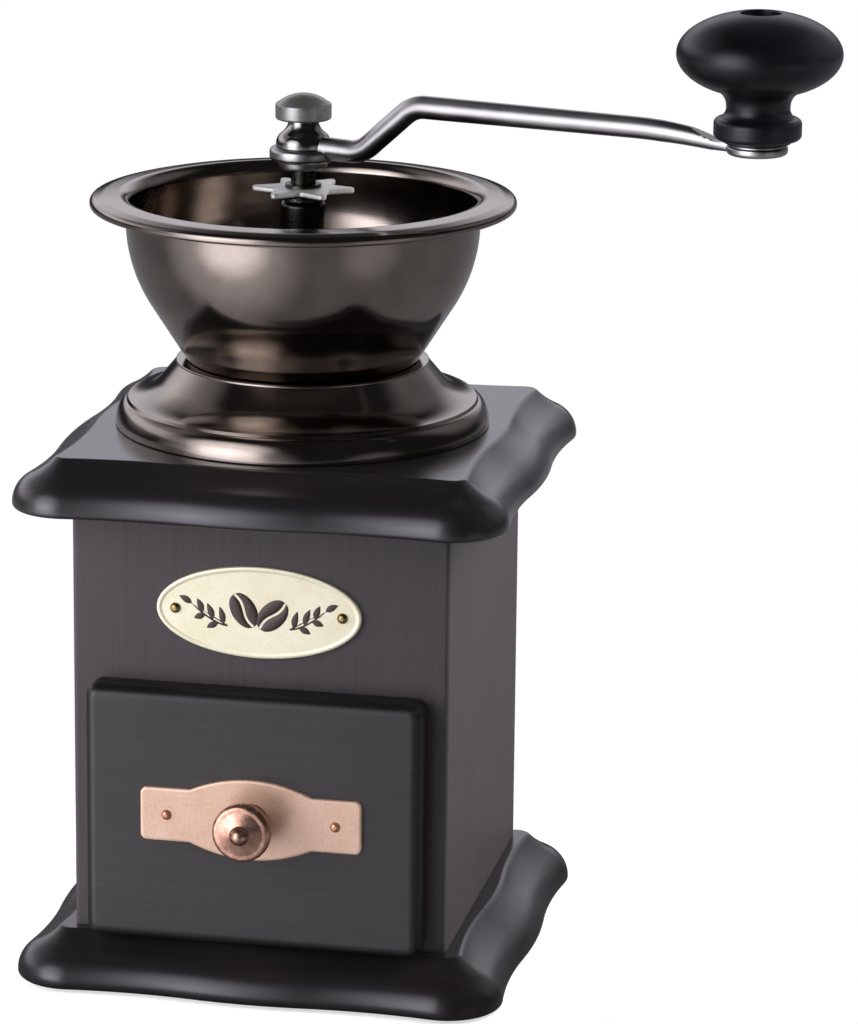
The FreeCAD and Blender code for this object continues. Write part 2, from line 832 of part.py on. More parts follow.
def hopper_skirt():
    """Flared foot of the hopper: a hollow curve from the neck down to two beads."""
    wall, neck = size("hopper_wall"), size("skirt_neck_radius")
    cove, ease = size("skirt_cove_radius"), size("skirt_round")
    neck_foot = neck_top - size("skirt_neck_drop")
    cove_end = (size("skirt_cove_end_radius"), top_face + size("skirt_cove_end_height"))
    bead, bead_foot = size("skirt_bead_radius"), top_face + size("skirt_bead_height")
    rim, rim_top = size("skirt_rim_radius"), top_face + size("skirt_rim_height")
    bead_round = (bead, cove_end[1] - ease)
    corners = [(neck - wall, neck_top), (neck, neck_top), (neck, neck_foot, cove),
               (*cove_end, -size("skirt_bead_round")), bead_round, (bead, bead_foot),
               (rim - ease / 2, bead_foot, -ease), (rim, rim_top - ease / 2),
               (rim, top_face), (rim - wall * 2, top_face), (bead - wall, bead_foot),
               (cove_end[0] - wall / 2, cove_end[1] - wall, -cove - wall), (neck - wall, neck_foot)]
    finish(turned("hopper_skirt", corners))


def burr_housing():
    """Casting that hangs in the top plate: collar under the bowl, neck, flange on the plate, burr seat."""
    bore = size("housing_bore")
    outer = bore + size("housing_wall")
    flange, flange_top = size("housing_flange_radius"), top_face + size("housing_flange_thickness")
    collar, collar_foot = size("housing_collar_radius"), neck_top - size("housing_collar_thickness")
    outlet, ledge = size("housing_outlet"), size("burr_foot")
    corners = [(outlet, housing_foot), (outer, housing_foot), (outer, top_face), (flange, top_face),
               (flange, flange_top), (outer, flange_top), (outer, collar_foot), (collar, collar_foot),
               (collar, neck_top), (bore, neck_top), (bore, ledge), (outlet, ledge)]
    body = turned("burr_housing", corners)
    shank = size("machine_screw_radius")
    for x, y in housing_screw_spots():
        drill(body, shank, top_face, flange_top, x, y)
    for side in (1, -1):
        drill(body, shank, neck_top - size("machine_screw_bite"), neck_top,
              size("bridge_screw_spread") * side)
        drill(body, shank, housing_foot, housing_foot + size("lower_screw_bite"),
              size("lower_screw_spread") * side)
    finish(body)


def machine_screw(label, seat, tip, x, y, rise):
    """A round-headed screw; rise is 1 for a head above the seat and -1 for one below it."""
    shank, head = size("machine_screw_radius"), size("machine_screw_head_radius")
    tall, dome = size("machine_screw_head_height") * rise, size("machine_screw_dome_height") * rise
    return turned(label, [(0, tip), (shank, tip), (shank, seat), (head, seat),
                          (head, seat + tall - dome, arc_radius(head * 2, dome)), (0, seat + tall)],
                  axis_spot(x, y))


def housing_screws():
    seat = top_face + size("housing_flange_thickness")
    tip = top_face - size("housing_screw_bite")
    group("housing_screws", [machine_screw(f"housing_screw_{place}", seat, tip, x, y, 1)
                             for place, (x, y) in enumerate(housing_screw_spots(), start=1)])


def bearing_bridge():
    """Strap over the throat that carries the bearing post and clamps the bowl to the housing."""
    long, wide = size("bridge_half_length"), size("bridge_half_width")
    body = new_body("bearing_bridge")
    sketch = new_sketch(body, "XY_Plane", (0, 0, bridge_foot))
    draw_outline(sketch, rounded_rectangle(long, wide, wide / 2))
    draw_circle(sketch, (0, 0), size("post_spigot_radius"))
    spread, tip = size("bridge_screw_spread"), neck_top - size("machine_screw_bite")
    for side in (1, -1):
        draw_circle(sketch, (spread * side, 0), size("machine_screw_radius"))
    pad(body, sketch, size("bridge_thickness"))
    finish(body)
    group("bridge_screws", [machine_screw(f"bridge_screw_{place}", bridge_top, tip, spread * side, 0, 1)
                            for place, side in enumerate((1, -1), start=1)])


def bearing_post():
    """Tall bush that the shaft turns in, with a spigot in the bridge."""
    bore, ease = size("shaft_radius") + size("running_gap"), size("post_top_round")
    radius, spigot, top = size("post_radius"), size("post_spigot_radius"), post_top
    finish(turned("bearing_post", [(bore, bridge_foot), (spigot, bridge_foot), (spigot, bridge_top),
                                   (radius, bridge_top), (radius, top - ease, ease), (radius - ease, top),
                                   (bore, top)]))


def lower_bridge():
    """Strap under the housing with a flanged bush for the foot of the shaft."""
    long, wide = size("lower_bridge_half_length"), size("lower_bridge_half_width")
    thick, spread = size("lower_bridge_thickness"), size("lower_screw_spread")
    foot, tip = housing_foot - thick, housing_foot + size("lower_screw_bite")
    body = new_body("lower_bridge")
    sketch = new_sketch(body, "XY_Plane", (0, 0, foot))
    draw_outline(sketch, rounded_rectangle(long, wide, wide / 2))
    draw_circle(sketch, (0, 0), size("bush_radius"))
    for side in (1, -1):
        draw_circle(sketch, (spread * side, 0), size("machine_screw_radius"))
    pad(body, sketch, thick)
    finish(body)
    group("lower_bridge_screws", [machine_screw(f"lower_screw_{place}", foot, tip, spread * side, 0, -1)
                                  for place, side in enumerate((1, -1), start=1)])
    bore, flange = size("shaft_radius") + size("running_gap"), size("bush_flange_radius")
    flange_foot = foot - size("bush_flange_thickness")
    finish(turned("lower_bush", [(bore, flange_foot), (flange, flange_foot), (flange, foot),
                                 (size("bush_radius"), foot), (size("bush_radius"), housing_foot),
                                 (bore, housing_foot)]))


# Burrs


def tooth_ring(tip, valley, twist):
    """A sawtooth star in plan: from each tip a long flank falls to the valley just before the next tip."""
    step = 360 / BURR_TEETH
    corners = []
    for tooth in range(BURR_TEETH):
        corners.append(polar(tip, twist + tooth * step))
        corners.append(polar(valley, twist + (tooth + FLANK_SHARE) * step))
    return corners


def tooth_sections(body, foot, height, foot_radius, top_radius, depth, twist):
    """Sketches of the star at steps up the cone, each turned further than the one below."""
    sections = []
    for step in range(BURR_SECTIONS):
        share = step / (BURR_SECTIONS - 1)
        sketch = new_sketch(body, "XY_Plane", (0, 0, foot + height * share))
        tip = foot_radius + (top_radius - foot_radius) * share
        draw_outline(sketch, tooth_ring(tip, tip + depth, twist * share))
        sections.append(sketch)
    return sections


def loft(body, kind, sections):
    feature = body.newObject(f"PartDesign::{kind}", f"{body.Name}_teeth")
    feature.Profile = sections[0]
    feature.Sections = sections[1:]
    feature.Ruled = True
    doc.recompute()
    return feature


def outer_burr():
    """Ring with helical teeth inside, wider towards its foot."""
    foot, height = size("burr_foot"), size("burr_height")
    body = new_body("outer_burr")
    sketch = new_sketch(body, "XY_Plane", (0, 0, foot))
    draw_circle(sketch, (0, 0), size("housing_bore"))
    pad(body, sketch, height)
    before = body.Shape.Volume
    sections = tooth_sections(body, foot, height, size("outer_burr_foot_radius"),
                              size("outer_burr_top_radius"), size("tooth_depth"), -size("tooth_twist_angle"))
    checked_cut(body, loft(body, "SubtractiveLoft", sections), before)
    finish(body)


def inner_burr():
    """Cone with helical teeth outside, fixed on the shaft."""
    overlap = size("inner_burr_overlap")
    foot, height = size("burr_foot"), size("burr_height") + overlap
    body = new_body("inner_burr")
    sections = tooth_sections(body, foot, height, size("inner_burr_foot_radius"),
                              size("inner_burr_top_radius"), -size("tooth_depth"), size("tooth_twist_angle"))
    loft(body, "AdditiveLoft", sections)
    hole = new_sketch(body, "XY_Plane", (0, 0, foot + height))
    draw_circle(hole, (0, 0), size("shaft_radius"))
    pocket(body, hole, height)
    finish(body)


def burr_nut():
    foot = size("burr_foot") - size("burr_nut_height")
    across = size("burr_nut_width") / 2 / cosine(180 / NUT_SIDES)
    body = new_body("burr_nut")
    sketch = new_sketch(body, "XY_Plane", (0, 0, foot))
    draw_outline(sketch, [polar(across, (side + 0.5) * 360 / NUT_SIDES) for side in range(NUT_SIDES)])
    draw_circle(sketch, (0, 0), size("shaft_radius"))
    pad(body, sketch, size("burr_nut_height"))
    finish(body)


def ring(label, inner, outer, foot, height, swung=False, x=0):
    """A flat washer."""
    corners = [(inner, foot), (outer, foot), (outer, foot + height), (inner, foot + height)]
    return finish(turned(label, corners, axis_spot(x, 0), swung))


def spring_seat():
    return burr_top + size("inner_burr_overlap") + size("spring_washer_thickness")


def biarc(start, start_way, end, end_way):
    """Two arcs that leave start along start_way and reach end along end_way with no kink between."""
    gap = end - start
    ways = start_way + end_way
    square = ways.dot(ways) - 4
    lean = -2 * gap.dot(ways)
    reach = (-lean - math.sqrt(lean * lean - 4 * square * gap.dot(gap))) / (2 * square)
    first, last = start + start_way * reach, end - end_way * reach
    joint = (first + last) / 2
    return [corner_arc(start, first, joint), corner_arc(joint, last, end)]


def corner_arc(start, corner, end):
    """The arc that touches both legs of an even-legged corner at their ends."""
    middle = (start + end) / 2
    half = (end - start).Length / 2
    inward = corner - middle
    tilt = math.atan2(inward.Length, half)
    top = middle + inward.normalize() * (half * math.tan(tilt / 2))
    return Part.Arc(start, top, end).toShape()


def burr_spring():
    """Coil between the inner burr and the bridge: one tube swept along biarcs of a quarter turn."""
    coil, wire, turns = (size(f"spring_{word}").number for word in ("coil_radius", "wire_radius", "turns"))
    foot = spring_seat().number + wire
    rise = bridge_foot.number - wire - foot
    steps = round(turns * SPRING_STEPS_PER_TURN)

    def place(turn):
        angle = 2 * math.pi * turn
        return FreeCAD.Vector(coil * math.cos(angle), coil * math.sin(angle), foot + rise * turn / turns)

    def heading(turn):
        angle = 2 * math.pi * turn
        way = FreeCAD.Vector(-coil * math.sin(angle), coil * math.cos(angle), rise / (2 * math.pi * turns))
        return way.normalize()

    edges = []
    for step in range(steps):
        here, there = step * turns / steps, (step + 1) * turns / steps
        edges += biarc(place(here), heading(here), place(there), heading(there))
    path = Part.Wire(edges)
    section = Part.Wire([Part.Circle(place(0), heading(0), wire).toShape()])
    spring = doc.addObject("Part::Feature", "burr_spring")
    spring.Shape = path.makePipeShell([section], True, False)
    spring.Placement = FreeCAD.Placement()
    self_gap = rise / turns * math.cos(math.atan(rise / (2 * math.pi * coil * turns))) - 2 * wire
    print(f"burr_spring: least gap between turns {self_gap:.2f} mm")
    if self_gap < LEAST_SPRING_GAP:
        raise RuntimeError("the turns of burr_spring are too close")
    finish(spring)


# Shaft, adjusting wheel and crank


def grind_shaft():
    """Round shaft with a flat for the keyed washer, a square for the crank and a stud for the cap nut."""
    radius, foot, stud = size("shaft_radius"), size("shaft_foot"), size("shaft_stud_radius")
    shoulder = size("eye_foot") + size("eye_thickness") - size("shaft_square")
    square_top = size("eye_foot") + size("eye_thickness")
    stud_top = square_top + size("bell_height") + size("cap_bore_depth")
    body = turned("grind_shaft", rod_section(radius, foot, shoulder), swung=True)
    half = size("shaft_square") / 2
    square = new_sketch(body, "XY_Plane", (0, 0, shoulder))
    draw_outline(square, rectangle(-half, -half, half, half))
    pad(body, square, square_top - shoulder)
    thread = new_sketch(body, "XY_Plane", (0, 0, square_top))
    draw_circle(thread, (0, 0), stud)
    pad(body, thread, stud_top - square_top)
    flat = new_sketch(body, "XY_Plane", (0, 0, post_top + size("shaft_flat_length") / 2))
    edge = radius - size("shaft_flat_depth")
    draw_outline(flat, rectangle(edge, -radius, radius * 2, radius))
    pocket(body, flat, size("shaft_flat_length"))
    finish(body)


def thrust_washer():
    """Washer on the post, with a flat in its hole that makes it turn with the shaft."""
    body = new_body("thrust_washer", swung=True)
    bore = size("shaft_radius") + size("running_gap")
    flat = bore - size("shaft_flat_depth")
    half_chord = root(bore * bore - flat * flat)
    sketch = new_sketch(body, "XY_Plane", (0, 0, washer_foot))
    draw_circle(sketch, (0, 0), size("thrust_washer_radius"))
    draw_outline(sketch, [(flat, -half_chord), (flat, half_chord, bore), (-bore, 0, bore)])
    pad(body, sketch, size("thrust_washer_thickness"))
    finish(body)


def adjusting_wheel():
    """Star nut on the shaft's thread: a hub and a six-pointed plate."""
    bore = size("shaft_radius") + size("running_gap")
    foot, hub = wheel_foot, size("wheel_hub_radius")
    body = turned("adjusting_wheel", [(bore, foot), (hub, foot), (hub, wheel_top), (bore, wheel_top)])
    star = new_sketch(body, "XY_Plane", (0, 0, foot + size("wheel_plate_lift")))
    step, turn = 360 / WHEEL_POINTS, size("wheel_angle")
    corners = []
    for point in range(WHEEL_POINTS):
        corners.append(polar(size("wheel_tip_radius"), turn + point * step))
        corners.append(polar(size("wheel_valley_radius"), turn + (point + 0.5) * step))
    draw_outline(star, corners)
    draw_circle(star, (0, 0), bore)
    pad(body, star, size("wheel_plate_thickness"))
    finish(body)


def rod_path():
    """Centre line of the rod in the crank's upright plane, from the shaft's eye to the level run."""
    low, high = size("eye_foot") + size("rod_root_lift"), rod_height
    first, last = size("rod_bend_start"), size("rod_bend_end")
    bend = size("rod_bend_radius")
    slope = distance((first, low), (last, high))
    along, up = (last - first) / slope, (high - low) / slope
    trim = bend * up / (along + 1)
    return [(size("rod_root_start"), low), (first - trim, low, bend),
            (first + trim * along, low + trim * up), (last - trim * along, high - trim * up, -bend),
            (last + trim, high), (size("rod_level_start"), high)]


def crank_arm():
    """One forging: the shaft's eye with a boss, a cranked rod that bows up and thins, and the knob's eye."""
    eye, ease, foot = size("eye_radius"), size("eye_round"), size("eye_foot")
    top, boss = foot + size("eye_thickness"), size("eye_boss_radius")
    boss_foot = foot - size("eye_boss_height")
    corners = [(0, boss_foot), (boss, boss_foot), (boss, foot), (eye - ease, foot, ease), (eye, foot + ease),
               (eye, top - ease, ease), (eye - ease, top), (0, top)]
    body = turned("crank_arm", corners, swung=True)
    path = new_sketch(body, "XZ_Plane")
    draw_outline(path, rod_path(), closed=False)
    root_ring = new_sketch(body, "YZ_Plane", (0, 0, size("rod_root_start")))
    draw_circle(root_ring, (0, foot + size("rod_root_lift")), size("rod_radius"))
    rod = body.newObject("PartDesign::AdditivePipe", "crank_arm_rod")
    rod.Profile = root_ring
    rod.Spine = (path, [])
    doc.recompute()
    reach, high = size("crank_radius"), rod_height
    eye_low = high - size("knob_eye_drop")
    eye_high, disc = eye_low + size("knob_eye_thickness"), size("knob_eye_radius")
    sections = []
    for along, up, radius in (
            (size("rod_level_start"), high, size("rod_radius")),
            (reach - size("rod_bow_back"), high + size("rod_bow_height"), size("rod_bow_radius")),
            (reach - disc / 2, (eye_low + eye_high) / 2, size("rod_tip_radius"))):
        section = new_sketch(body, "YZ_Plane", (0, 0, along))
        draw_circle(section, (0, up), radius)
        sections.append(section)
    loft(body, "AdditiveLoft", sections)
    knob_eye = new_sketch(body, "XZ_Plane", axis_spot(reach, 0))
    draw_outline(knob_eye, [(0, eye_low), (disc - ease, eye_low, ease), (disc, eye_low + ease),
                            (disc, eye_high - ease / 2), (disc - ease / 2, eye_high), (0, eye_high)])
    revolve(body, knob_eye, "V_Axis")
    above, below = eye_high + size("rod_radius") * 2, eye_low - size("rod_radius")
    clear = size("knob_foot_radius") + size("knob_side_gap")
    drill(body, clear, eye_high, above, reach)
    drill(body, disc, below, eye_low, reach)
    drill(body, size("knob_pin_radius"), eye_low, eye_high, reach)
    half = size("shaft_square") / 2 + size("shaft_square_gap")
    square = new_sketch(body, "XY_Plane", (0, 0, top))
    draw_outline(square, rectangle(-half, -half, half, half))
    pocket(body, square, size("shaft_square") + size("eye_boss_height"))
    drill(body, size("shaft_radius") + size("shaft_square_gap"), boss_foot, top - size("shaft_square"))
    finish(body)


def bell_washer():
    foot = size("eye_foot") + size("eye_thickness")
    top, lip = foot + size("bell_height"), foot + size("bell_lip")
    wide, narrow, bore = size("bell_radius"), size("bell_top_radius"), size("shaft_stud_radius")
    shoulder = (size("bell_shoulder_radius"), foot + size("bell_shoulder_height"))
    hollow = arc_radius(distance(shoulder, (narrow, top)), size("bell_hollow"))
    finish(turned("bell_washer", [(bore, foot), (wide, foot), (wide, lip, size("bell_lip_round")),
                                  (*shoulder, -hollow), (narrow, top), (bore, top)], swung=True))


def cap_nut():
    foot = size("eye_foot") + size("eye_thickness") + size("bell_height")
    rim_top, ease = foot + size("cap_rim_height"), size("eye_round") / 2
    wide, stud = size("cap_radius"), size("shaft_stud_radius")
    bore_top = foot + size("cap_bore_depth")
    dome_edge = wide - ease
    dome = arc_radius(dome_edge * 2, size("cap_dome_height"))
    finish(turned("cap_nut", [(stud, foot), (wide - ease, foot, ease), (wide, foot + ease),
                              (wide, rim_top - ease, ease), (dome_edge, rim_top, dome),
                              (0, rim_top + size("cap_dome_height")), (0, bore_top), (stud, bore_top)],
                  swung=True))


# Crank knob


def knob_foot_height():
    eye_top = rod_height - size("knob_eye_drop") + size("knob_eye_thickness")
    return eye_top + size("knob_washer_thickness") + size("knob_gap")


def crank_knob():
    """Turned mushroom with a hole in its top for the head of its pin."""
    foot, bore = knob_foot_height(), size("knob_pin_radius") + size("running_gap")
    low, low_top = size("knob_low_ring_radius"), foot + size("knob_low_ring_height")
    ring_edge, ring_top = size("knob_foot_radius"), foot + size("knob_foot_height")
    neck, neck_up = size("knob_neck_radius"), foot + size("knob_neck_height")
    flare, flare_up = size("knob_flare_radius"), foot + size("knob_flare_height")
    wide, wide_up = size("knob_radius"), foot + size("knob_widest_height")
    shoulder = (size("knob_shoulder_radius"), foot + size("knob_shoulder_height"))
    top, hole = foot + size("knob_height"), size("knob_hole_radius")
    shelf = top - size("knob_hole_depth")
    ease = size("knob_foot_round")
    waist = arc_radius(distance((ring_edge - ease, ring_top), (neck, neck_up)), size("knob_waist_sag"))
    throat = arc_radius(distance((neck, neck_up), (flare, flare_up)), size("knob_throat_sag"))
    under = arc_radius(distance((flare, flare_up), (wide, wide_up)), size("knob_under_sag"))
    side = arc_radius(distance((wide, wide_up), shoulder), size("knob_side_sag"))
    over = arc_radius(distance(shoulder, (hole, top)), size("knob_over_sag"))
    corners = [(bore, foot), (low, foot), (low, low_top), (ring_edge - ease, low_top, ease),
               (ring_edge, low_top + ease), (ring_edge, ring_top - ease, ease),
               (ring_edge - ease, ring_top, -waist), (neck, neck_up, -throat), (flare, flare_up, under),
               (wide, wide_up, side), (*shoulder, over), (hole, top), (hole, shelf), (bore, shelf)]
    finish(turned("crank_knob", corners, axis_spot(size("crank_radius"), 0), swung=True))


def knob_pin():
    """Shouldered screw that the knob turns on; its head sits in the hole of the knob."""
    foot = rod_height - size("knob_eye_drop")
    head_foot = knob_foot_height() + size("knob_height") - size("knob_hole_depth") + size("knob_gap")
    head_top, head = head_foot + size("knob_pin_head_height"), size("knob_pin_head_radius")
    shank, slot = size("knob_pin_radius"), size("knob_pin_radius") / 3
    corners = [(0, foot), (shank, foot), (shank, head_foot), (head, head_foot), (head, head_top), (0, head_top)]
    body = turned("knob_pin", corners, axis_spot(size("crank_radius"), 0), swung=True)
    cut = new_sketch(body, "XY_Plane", (size("crank_radius"), 0, head_top))
    draw_outline(cut, rectangle(-head * 2, -slot, head * 2, slot))
    pocket(body, cut, size("knob_pin_head_height") / 2)
    finish(body)


def knob_washer():
    foot = rod_height - size("knob_eye_drop") + size("knob_eye_thickness")
    ring("knob_washer", size("knob_pin_radius"), size("knob_washer_radius"), foot,
         size("knob_washer_thickness"), swung=True, x=size("crank_radius"))


# Drawer


def drawer_front():
    """Thick board with rounded front edges."""
    body = new_body("drawer_front")
    half_height = size("drawer_front_height") / 2
    sketch = new_sketch(body, "XZ_Plane", (0, 0, drawer_back_face))
    draw_outline(sketch, rounded_rectangle(size("drawer_front_width") / 2, half_height,
                                           size("drawer_front_corner"), drawer_foot + half_height))
    board = pad(body, sketch, size("drawer_front_thickness"))
    fronts = [f"Face{place}" for place, face in enumerate(board.Shape.Faces, start=1)
              if abs(face.CenterOfMass.y + drawer_face.number) < size("drawer_gap").number]
    rounding = body.newObject("PartDesign::Fillet", "drawer_front_rounding")
    rounding.Base = (board, fronts)
    rounding.setExpression("Radius", size("drawer_front_round").formula)
    doc.recompute()
    up, bite = size("pull_height"), size("pin_bite") - drawer_face
    front, back = -drawer_face - overshoot, overshoot - drawer_back_face
    bore_facing_front(body, size("drawer_knob_screw_radius"), front, back, 0, up)
    for x in (size("pull_pin_spread"), -size("pull_pin_spread")):
        bore_facing_front(body, size("pin_radius"), front, bite, x, up)
    finish(body)


def drawer_box():
    """Two sides, a back and a bottom behind the drawer front."""
    side, start = size("drawer_side_thickness"), -drawer_back_face
    end = start + size("drawer_length")
    inner, tall = box_half - side, size("drawer_side_height")
    finish(prism("drawer_left_side", rectangle(-box_half, start, -inner, end), drawer_foot, tall))
    finish(prism("drawer_right_side", rectangle(inner, start, box_half, end), drawer_foot, tall))
    finish(prism("drawer_back", rectangle(-inner, end - side, inner, end), drawer_foot, tall))
    finish(prism("drawer_bottom", rectangle(-inner, start, inner, end - side),
                 drawer_foot + size("drawer_bottom_lift"), size("drawer_bottom_thickness")))


def pull_plate():
    """Plate with two tabs and a bulge round the knob, and its pins."""
    long, tab, corner = size("pull_half_length"), size("pull_half_height"), size("pull_corner")
    bulge_long, bulge_high = size("pull_bulge_half_length"), size("pull_bulge_half_height")
    up, spread = size("pull_height"), size("pull_pin_spread")
    bulge = arc_radius(bulge_long * 2, bulge_high - tab)
    top_right = [(long, up + tab - corner, corner), (long - corner, up + tab), (bulge_long, up + tab, bulge)]
    top_left = [(-bulge_long, up + tab), (corner - long, up + tab, corner), (-long, up + tab - corner)]
    foot_left = [(-long, up - tab + corner, corner), (corner - long, up - tab),
                 (-bulge_long, up - tab, bulge)]
    foot_right = [(bulge_long, up - tab), (long - corner, up - tab, corner), (long, up - tab + corner)]
    holes = [(x, up, size("pin_radius")) for x in (spread, -spread)]
    holes.append((0, up, size("drawer_knob_screw_radius")))
    front_plate("pull_plate", top_right + top_left + foot_left + foot_right, drawer_face, holes)
    front_pins("pull_plate_pins", drawer_face, spread, up)


def drawer_knob():
    """Turned knob: foot, neck, disc with a ball tip; hollow for its screw."""
    base = -drawer_face - size("trim_thickness")
    neck_end = base - size("drawer_knob_stem")
    disc_end = neck_end - size("drawer_knob_disc_depth")
    foot, neck, disc = size("drawer_knob_foot"), size("drawer_knob_neck"), size("drawer_knob_disc")
    ball, bore = size("drawer_knob_ball"), size("drawer_knob_screw_radius")
    bore_end = base - size("drawer_knob_screw_bite")
    ease = size("drawer_knob_edge")
    flare = arc_radius(distance((base, foot), (neck_end, neck)), size("drawer_knob_neck_sag"))
    disc_edge, ball_edge = (disc_end, disc - ease), (disc_end - ease, ball)
    face = arc_radius(distance(disc_edge, ball_edge), size("drawer_knob_face_sag"))
    corners = [(base, bore), (base, foot, -flare), (neck_end, neck), (neck_end, disc - ease, ease),
               (neck_end - ease, disc), (disc_end + ease, disc, ease), (*disc_edge, face),
               (*ball_edge, ball), (disc_end - ease - ball, 0), (bore_end, 0), (bore_end, bore)]
    finish(turned_facing_front("drawer_knob", corners, 0, size("pull_height")))


def drawer_knob_screw():
    """Screw from inside the drawer into the knob."""
    seat = -drawer_back_face
    tip = -drawer_face - size("trim_thickness") - size("drawer_knob_screw_bite")
    shank, head = size("drawer_knob_screw_radius"), size("drawer_knob_screw_head")
    head_end = seat + size("drawer_knob_screw_head_depth")
    corners = [(tip, 0), (tip, shank), (seat, shank), (seat, head), (head_end, head), (head_end, 0)]
    finish(turned_facing_front("drawer_knob_screw", corners, 0, size("pull_height")))


def build():
    felt_pad()
    base_plate_and_screws()
    front_panel()
    back_panel()
    side_panel("left_panel", -1)
    side_panel("right_panel", 1)
    top_plate_and_dowels()
    name_plate()
    burr_housing()
    housing_screws()
    outer_burr()
    hopper_skirt()
    hopper_bowl()
    bearing_bridge()
    bearing_post()
    lower_bridge()
    thrust_washer()
    adjusting_wheel()
    grind_shaft()
    inner_burr()
    burr_nut()
    ring("spring_washer", size("shaft_radius"), size("spring_washer_radius"),
         burr_top + size("inner_burr_overlap"), size("spring_washer_thickness"))
    burr_spring()
    crank_arm()
    bell_washer()
    cap_nut()
    knob_pin()
    knob_washer()
    crank_knob()
    drawer_front()
    drawer_box()
    pull_plate()
    drawer_knob()
    drawer_knob_screw()


def check_and_write():
    """Stop on any failed object, then write one file per node."""
    doc.recompute()
    failed = [thing.Name for thing in doc.Objects if {"Invalid", "Error"} & set(thing.State)]
    if failed:
        raise RuntimeError(f"failed objects: {failed}")
    for node in nodes:
        if node.Shape.isNull() or not node.Shape.isValid():
            raise RuntimeError(f"{node.Label} has no valid shape")
    os.makedirs("parts", exist_ok=True)
    for node in nodes:
        node.Shape.exportStep(f"parts/{node.Label}.step")
    print(f"{len(nodes)} nodes written")


build()
check_and_write()
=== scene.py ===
# %% [markdown]
# # A hand-cranked coffee mill, dressed for its portrait
# The mill arrives as a fixed frame of plain solids, one per piece, already in its place and already
# jointed. This lesson rebuilds the pieces that the eye rests on as smooth surfaces worked out with
# numpy, and gives every piece the finish of its real material. Shapes are written in millimetres,
# because that is how a maker measures them, and become metres when a mesh is made.

import bmesh
import bpy
import numpy as np
from mathutils import Matrix


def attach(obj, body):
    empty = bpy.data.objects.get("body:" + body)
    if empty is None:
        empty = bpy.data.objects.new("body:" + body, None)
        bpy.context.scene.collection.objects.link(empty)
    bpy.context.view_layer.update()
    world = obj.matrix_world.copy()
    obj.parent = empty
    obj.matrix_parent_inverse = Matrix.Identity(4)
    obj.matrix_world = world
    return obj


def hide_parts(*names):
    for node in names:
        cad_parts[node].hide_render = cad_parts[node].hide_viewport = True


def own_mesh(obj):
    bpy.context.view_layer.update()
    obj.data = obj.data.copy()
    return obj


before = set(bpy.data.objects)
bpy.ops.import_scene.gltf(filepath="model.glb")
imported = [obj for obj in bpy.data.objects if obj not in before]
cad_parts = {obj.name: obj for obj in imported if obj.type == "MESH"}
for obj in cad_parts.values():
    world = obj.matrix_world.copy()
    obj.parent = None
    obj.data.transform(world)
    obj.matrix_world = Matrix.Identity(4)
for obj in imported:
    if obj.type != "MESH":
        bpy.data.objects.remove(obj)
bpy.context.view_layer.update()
MM = 0.001
print("nodes in the frame:", len(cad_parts))

# %% [markdown]
# ## The camera
# A catalogue picture is taken from some way off with a long lens, so that upright edges stay almost
# parallel. The camera could be aimed with a constraint; here its three axes are worked out from two
# angles and a slight roll, because then each number can be read off the photograph's straight edges.

# %% Camera
IMAGE_WIDTH, IMAGE_HEIGHT = 858, 1024
SENSOR_WIDTH = 36.0
FOCAL_PIXELS = 4787.1
AXIS_PIXEL = np.array([302.0, 543.2])
TARGET, DISTANCE = np.array([0.0, 0.0, 100.0]), 1180.8
azimuth, elevation, roll = np.radians([12.68, 15.17, 0.20])


def towards(azimuth, elevation):
    """Unit vector from the mill to a place seen at an azimuth right of the front and an elevation."""
    return np.array([np.sin(azimuth) * np.cos(elevation), -np.cos(azimuth) * np.cos(elevation),
                     np.sin(elevation)])


def aimed(place, back, right):
    """Placement matrix whose local Z is back, local X is right and local Y is square to both."""
    matrix = np.eye(4)
    matrix[:3] = np.column_stack([right, np.cross(back, right), back, np.asarray(place) * MM])
    return Matrix(matrix)


back = towards(azimuth, elevation)
level = np.array([np.cos(azimuth), np.sin(azimuth), 0.0])
right = np.cos(roll) * level + np.sin(roll) * np.cross(back, level)
camera_data = bpy.data.cameras.new("portrait_lens")
camera_data.sensor_fit = "HORIZONTAL"
camera_data.sensor_width = SENSOR_WIDTH
camera_data.lens = FOCAL_PIXELS / IMAGE_WIDTH * SENSOR_WIDTH
camera_data.shift_x = (IMAGE_WIDTH / 2 - AXIS_PIXEL[0]) / IMAGE_WIDTH
camera_data.shift_y = (AXIS_PIXEL[1] - IMAGE_HEIGHT / 2) / IMAGE_WIDTH
camera = bpy.data.objects.new("portrait_camera", camera_data)
bpy.context.scene.collection.objects.link(camera)
camera.matrix_world = aimed(TARGET + back * DISTANCE, back, right)
bpy.context.scene.camera = camera
bpy.context.scene.view_settings.view_transform = "Standard"
print("lens, mm:", round(camera_data.lens, 1))

# %% [markdown]
# ## Colours and nodes
# Colours are picked from swatches as sRGB hex values, but the renderer adds light in linear numbers,
# so one function converts them. Materials are small trees of nodes. One function adds a node with its
# settings and whatever feeds its inputs. Another joins a finished pattern to a surface, because every
# finish here needs the same things: a tone, a roughness that varies and mostly a fine relief.


# %% Colour and node helpers
def colour(swatch):
    """Linear RGBA of an sRGB hex value: each channel goes through the sRGB curve backwards."""
    channel = np.array([int(swatch[i:i + 2], 16) for i in (1, 3, 5)]) / 255
    linear = np.where(channel <= 0.04045, channel / 12.92, ((channel + 0.055) / 1.055) ** 2.4)
    return (*linear.tolist(), 1.0)


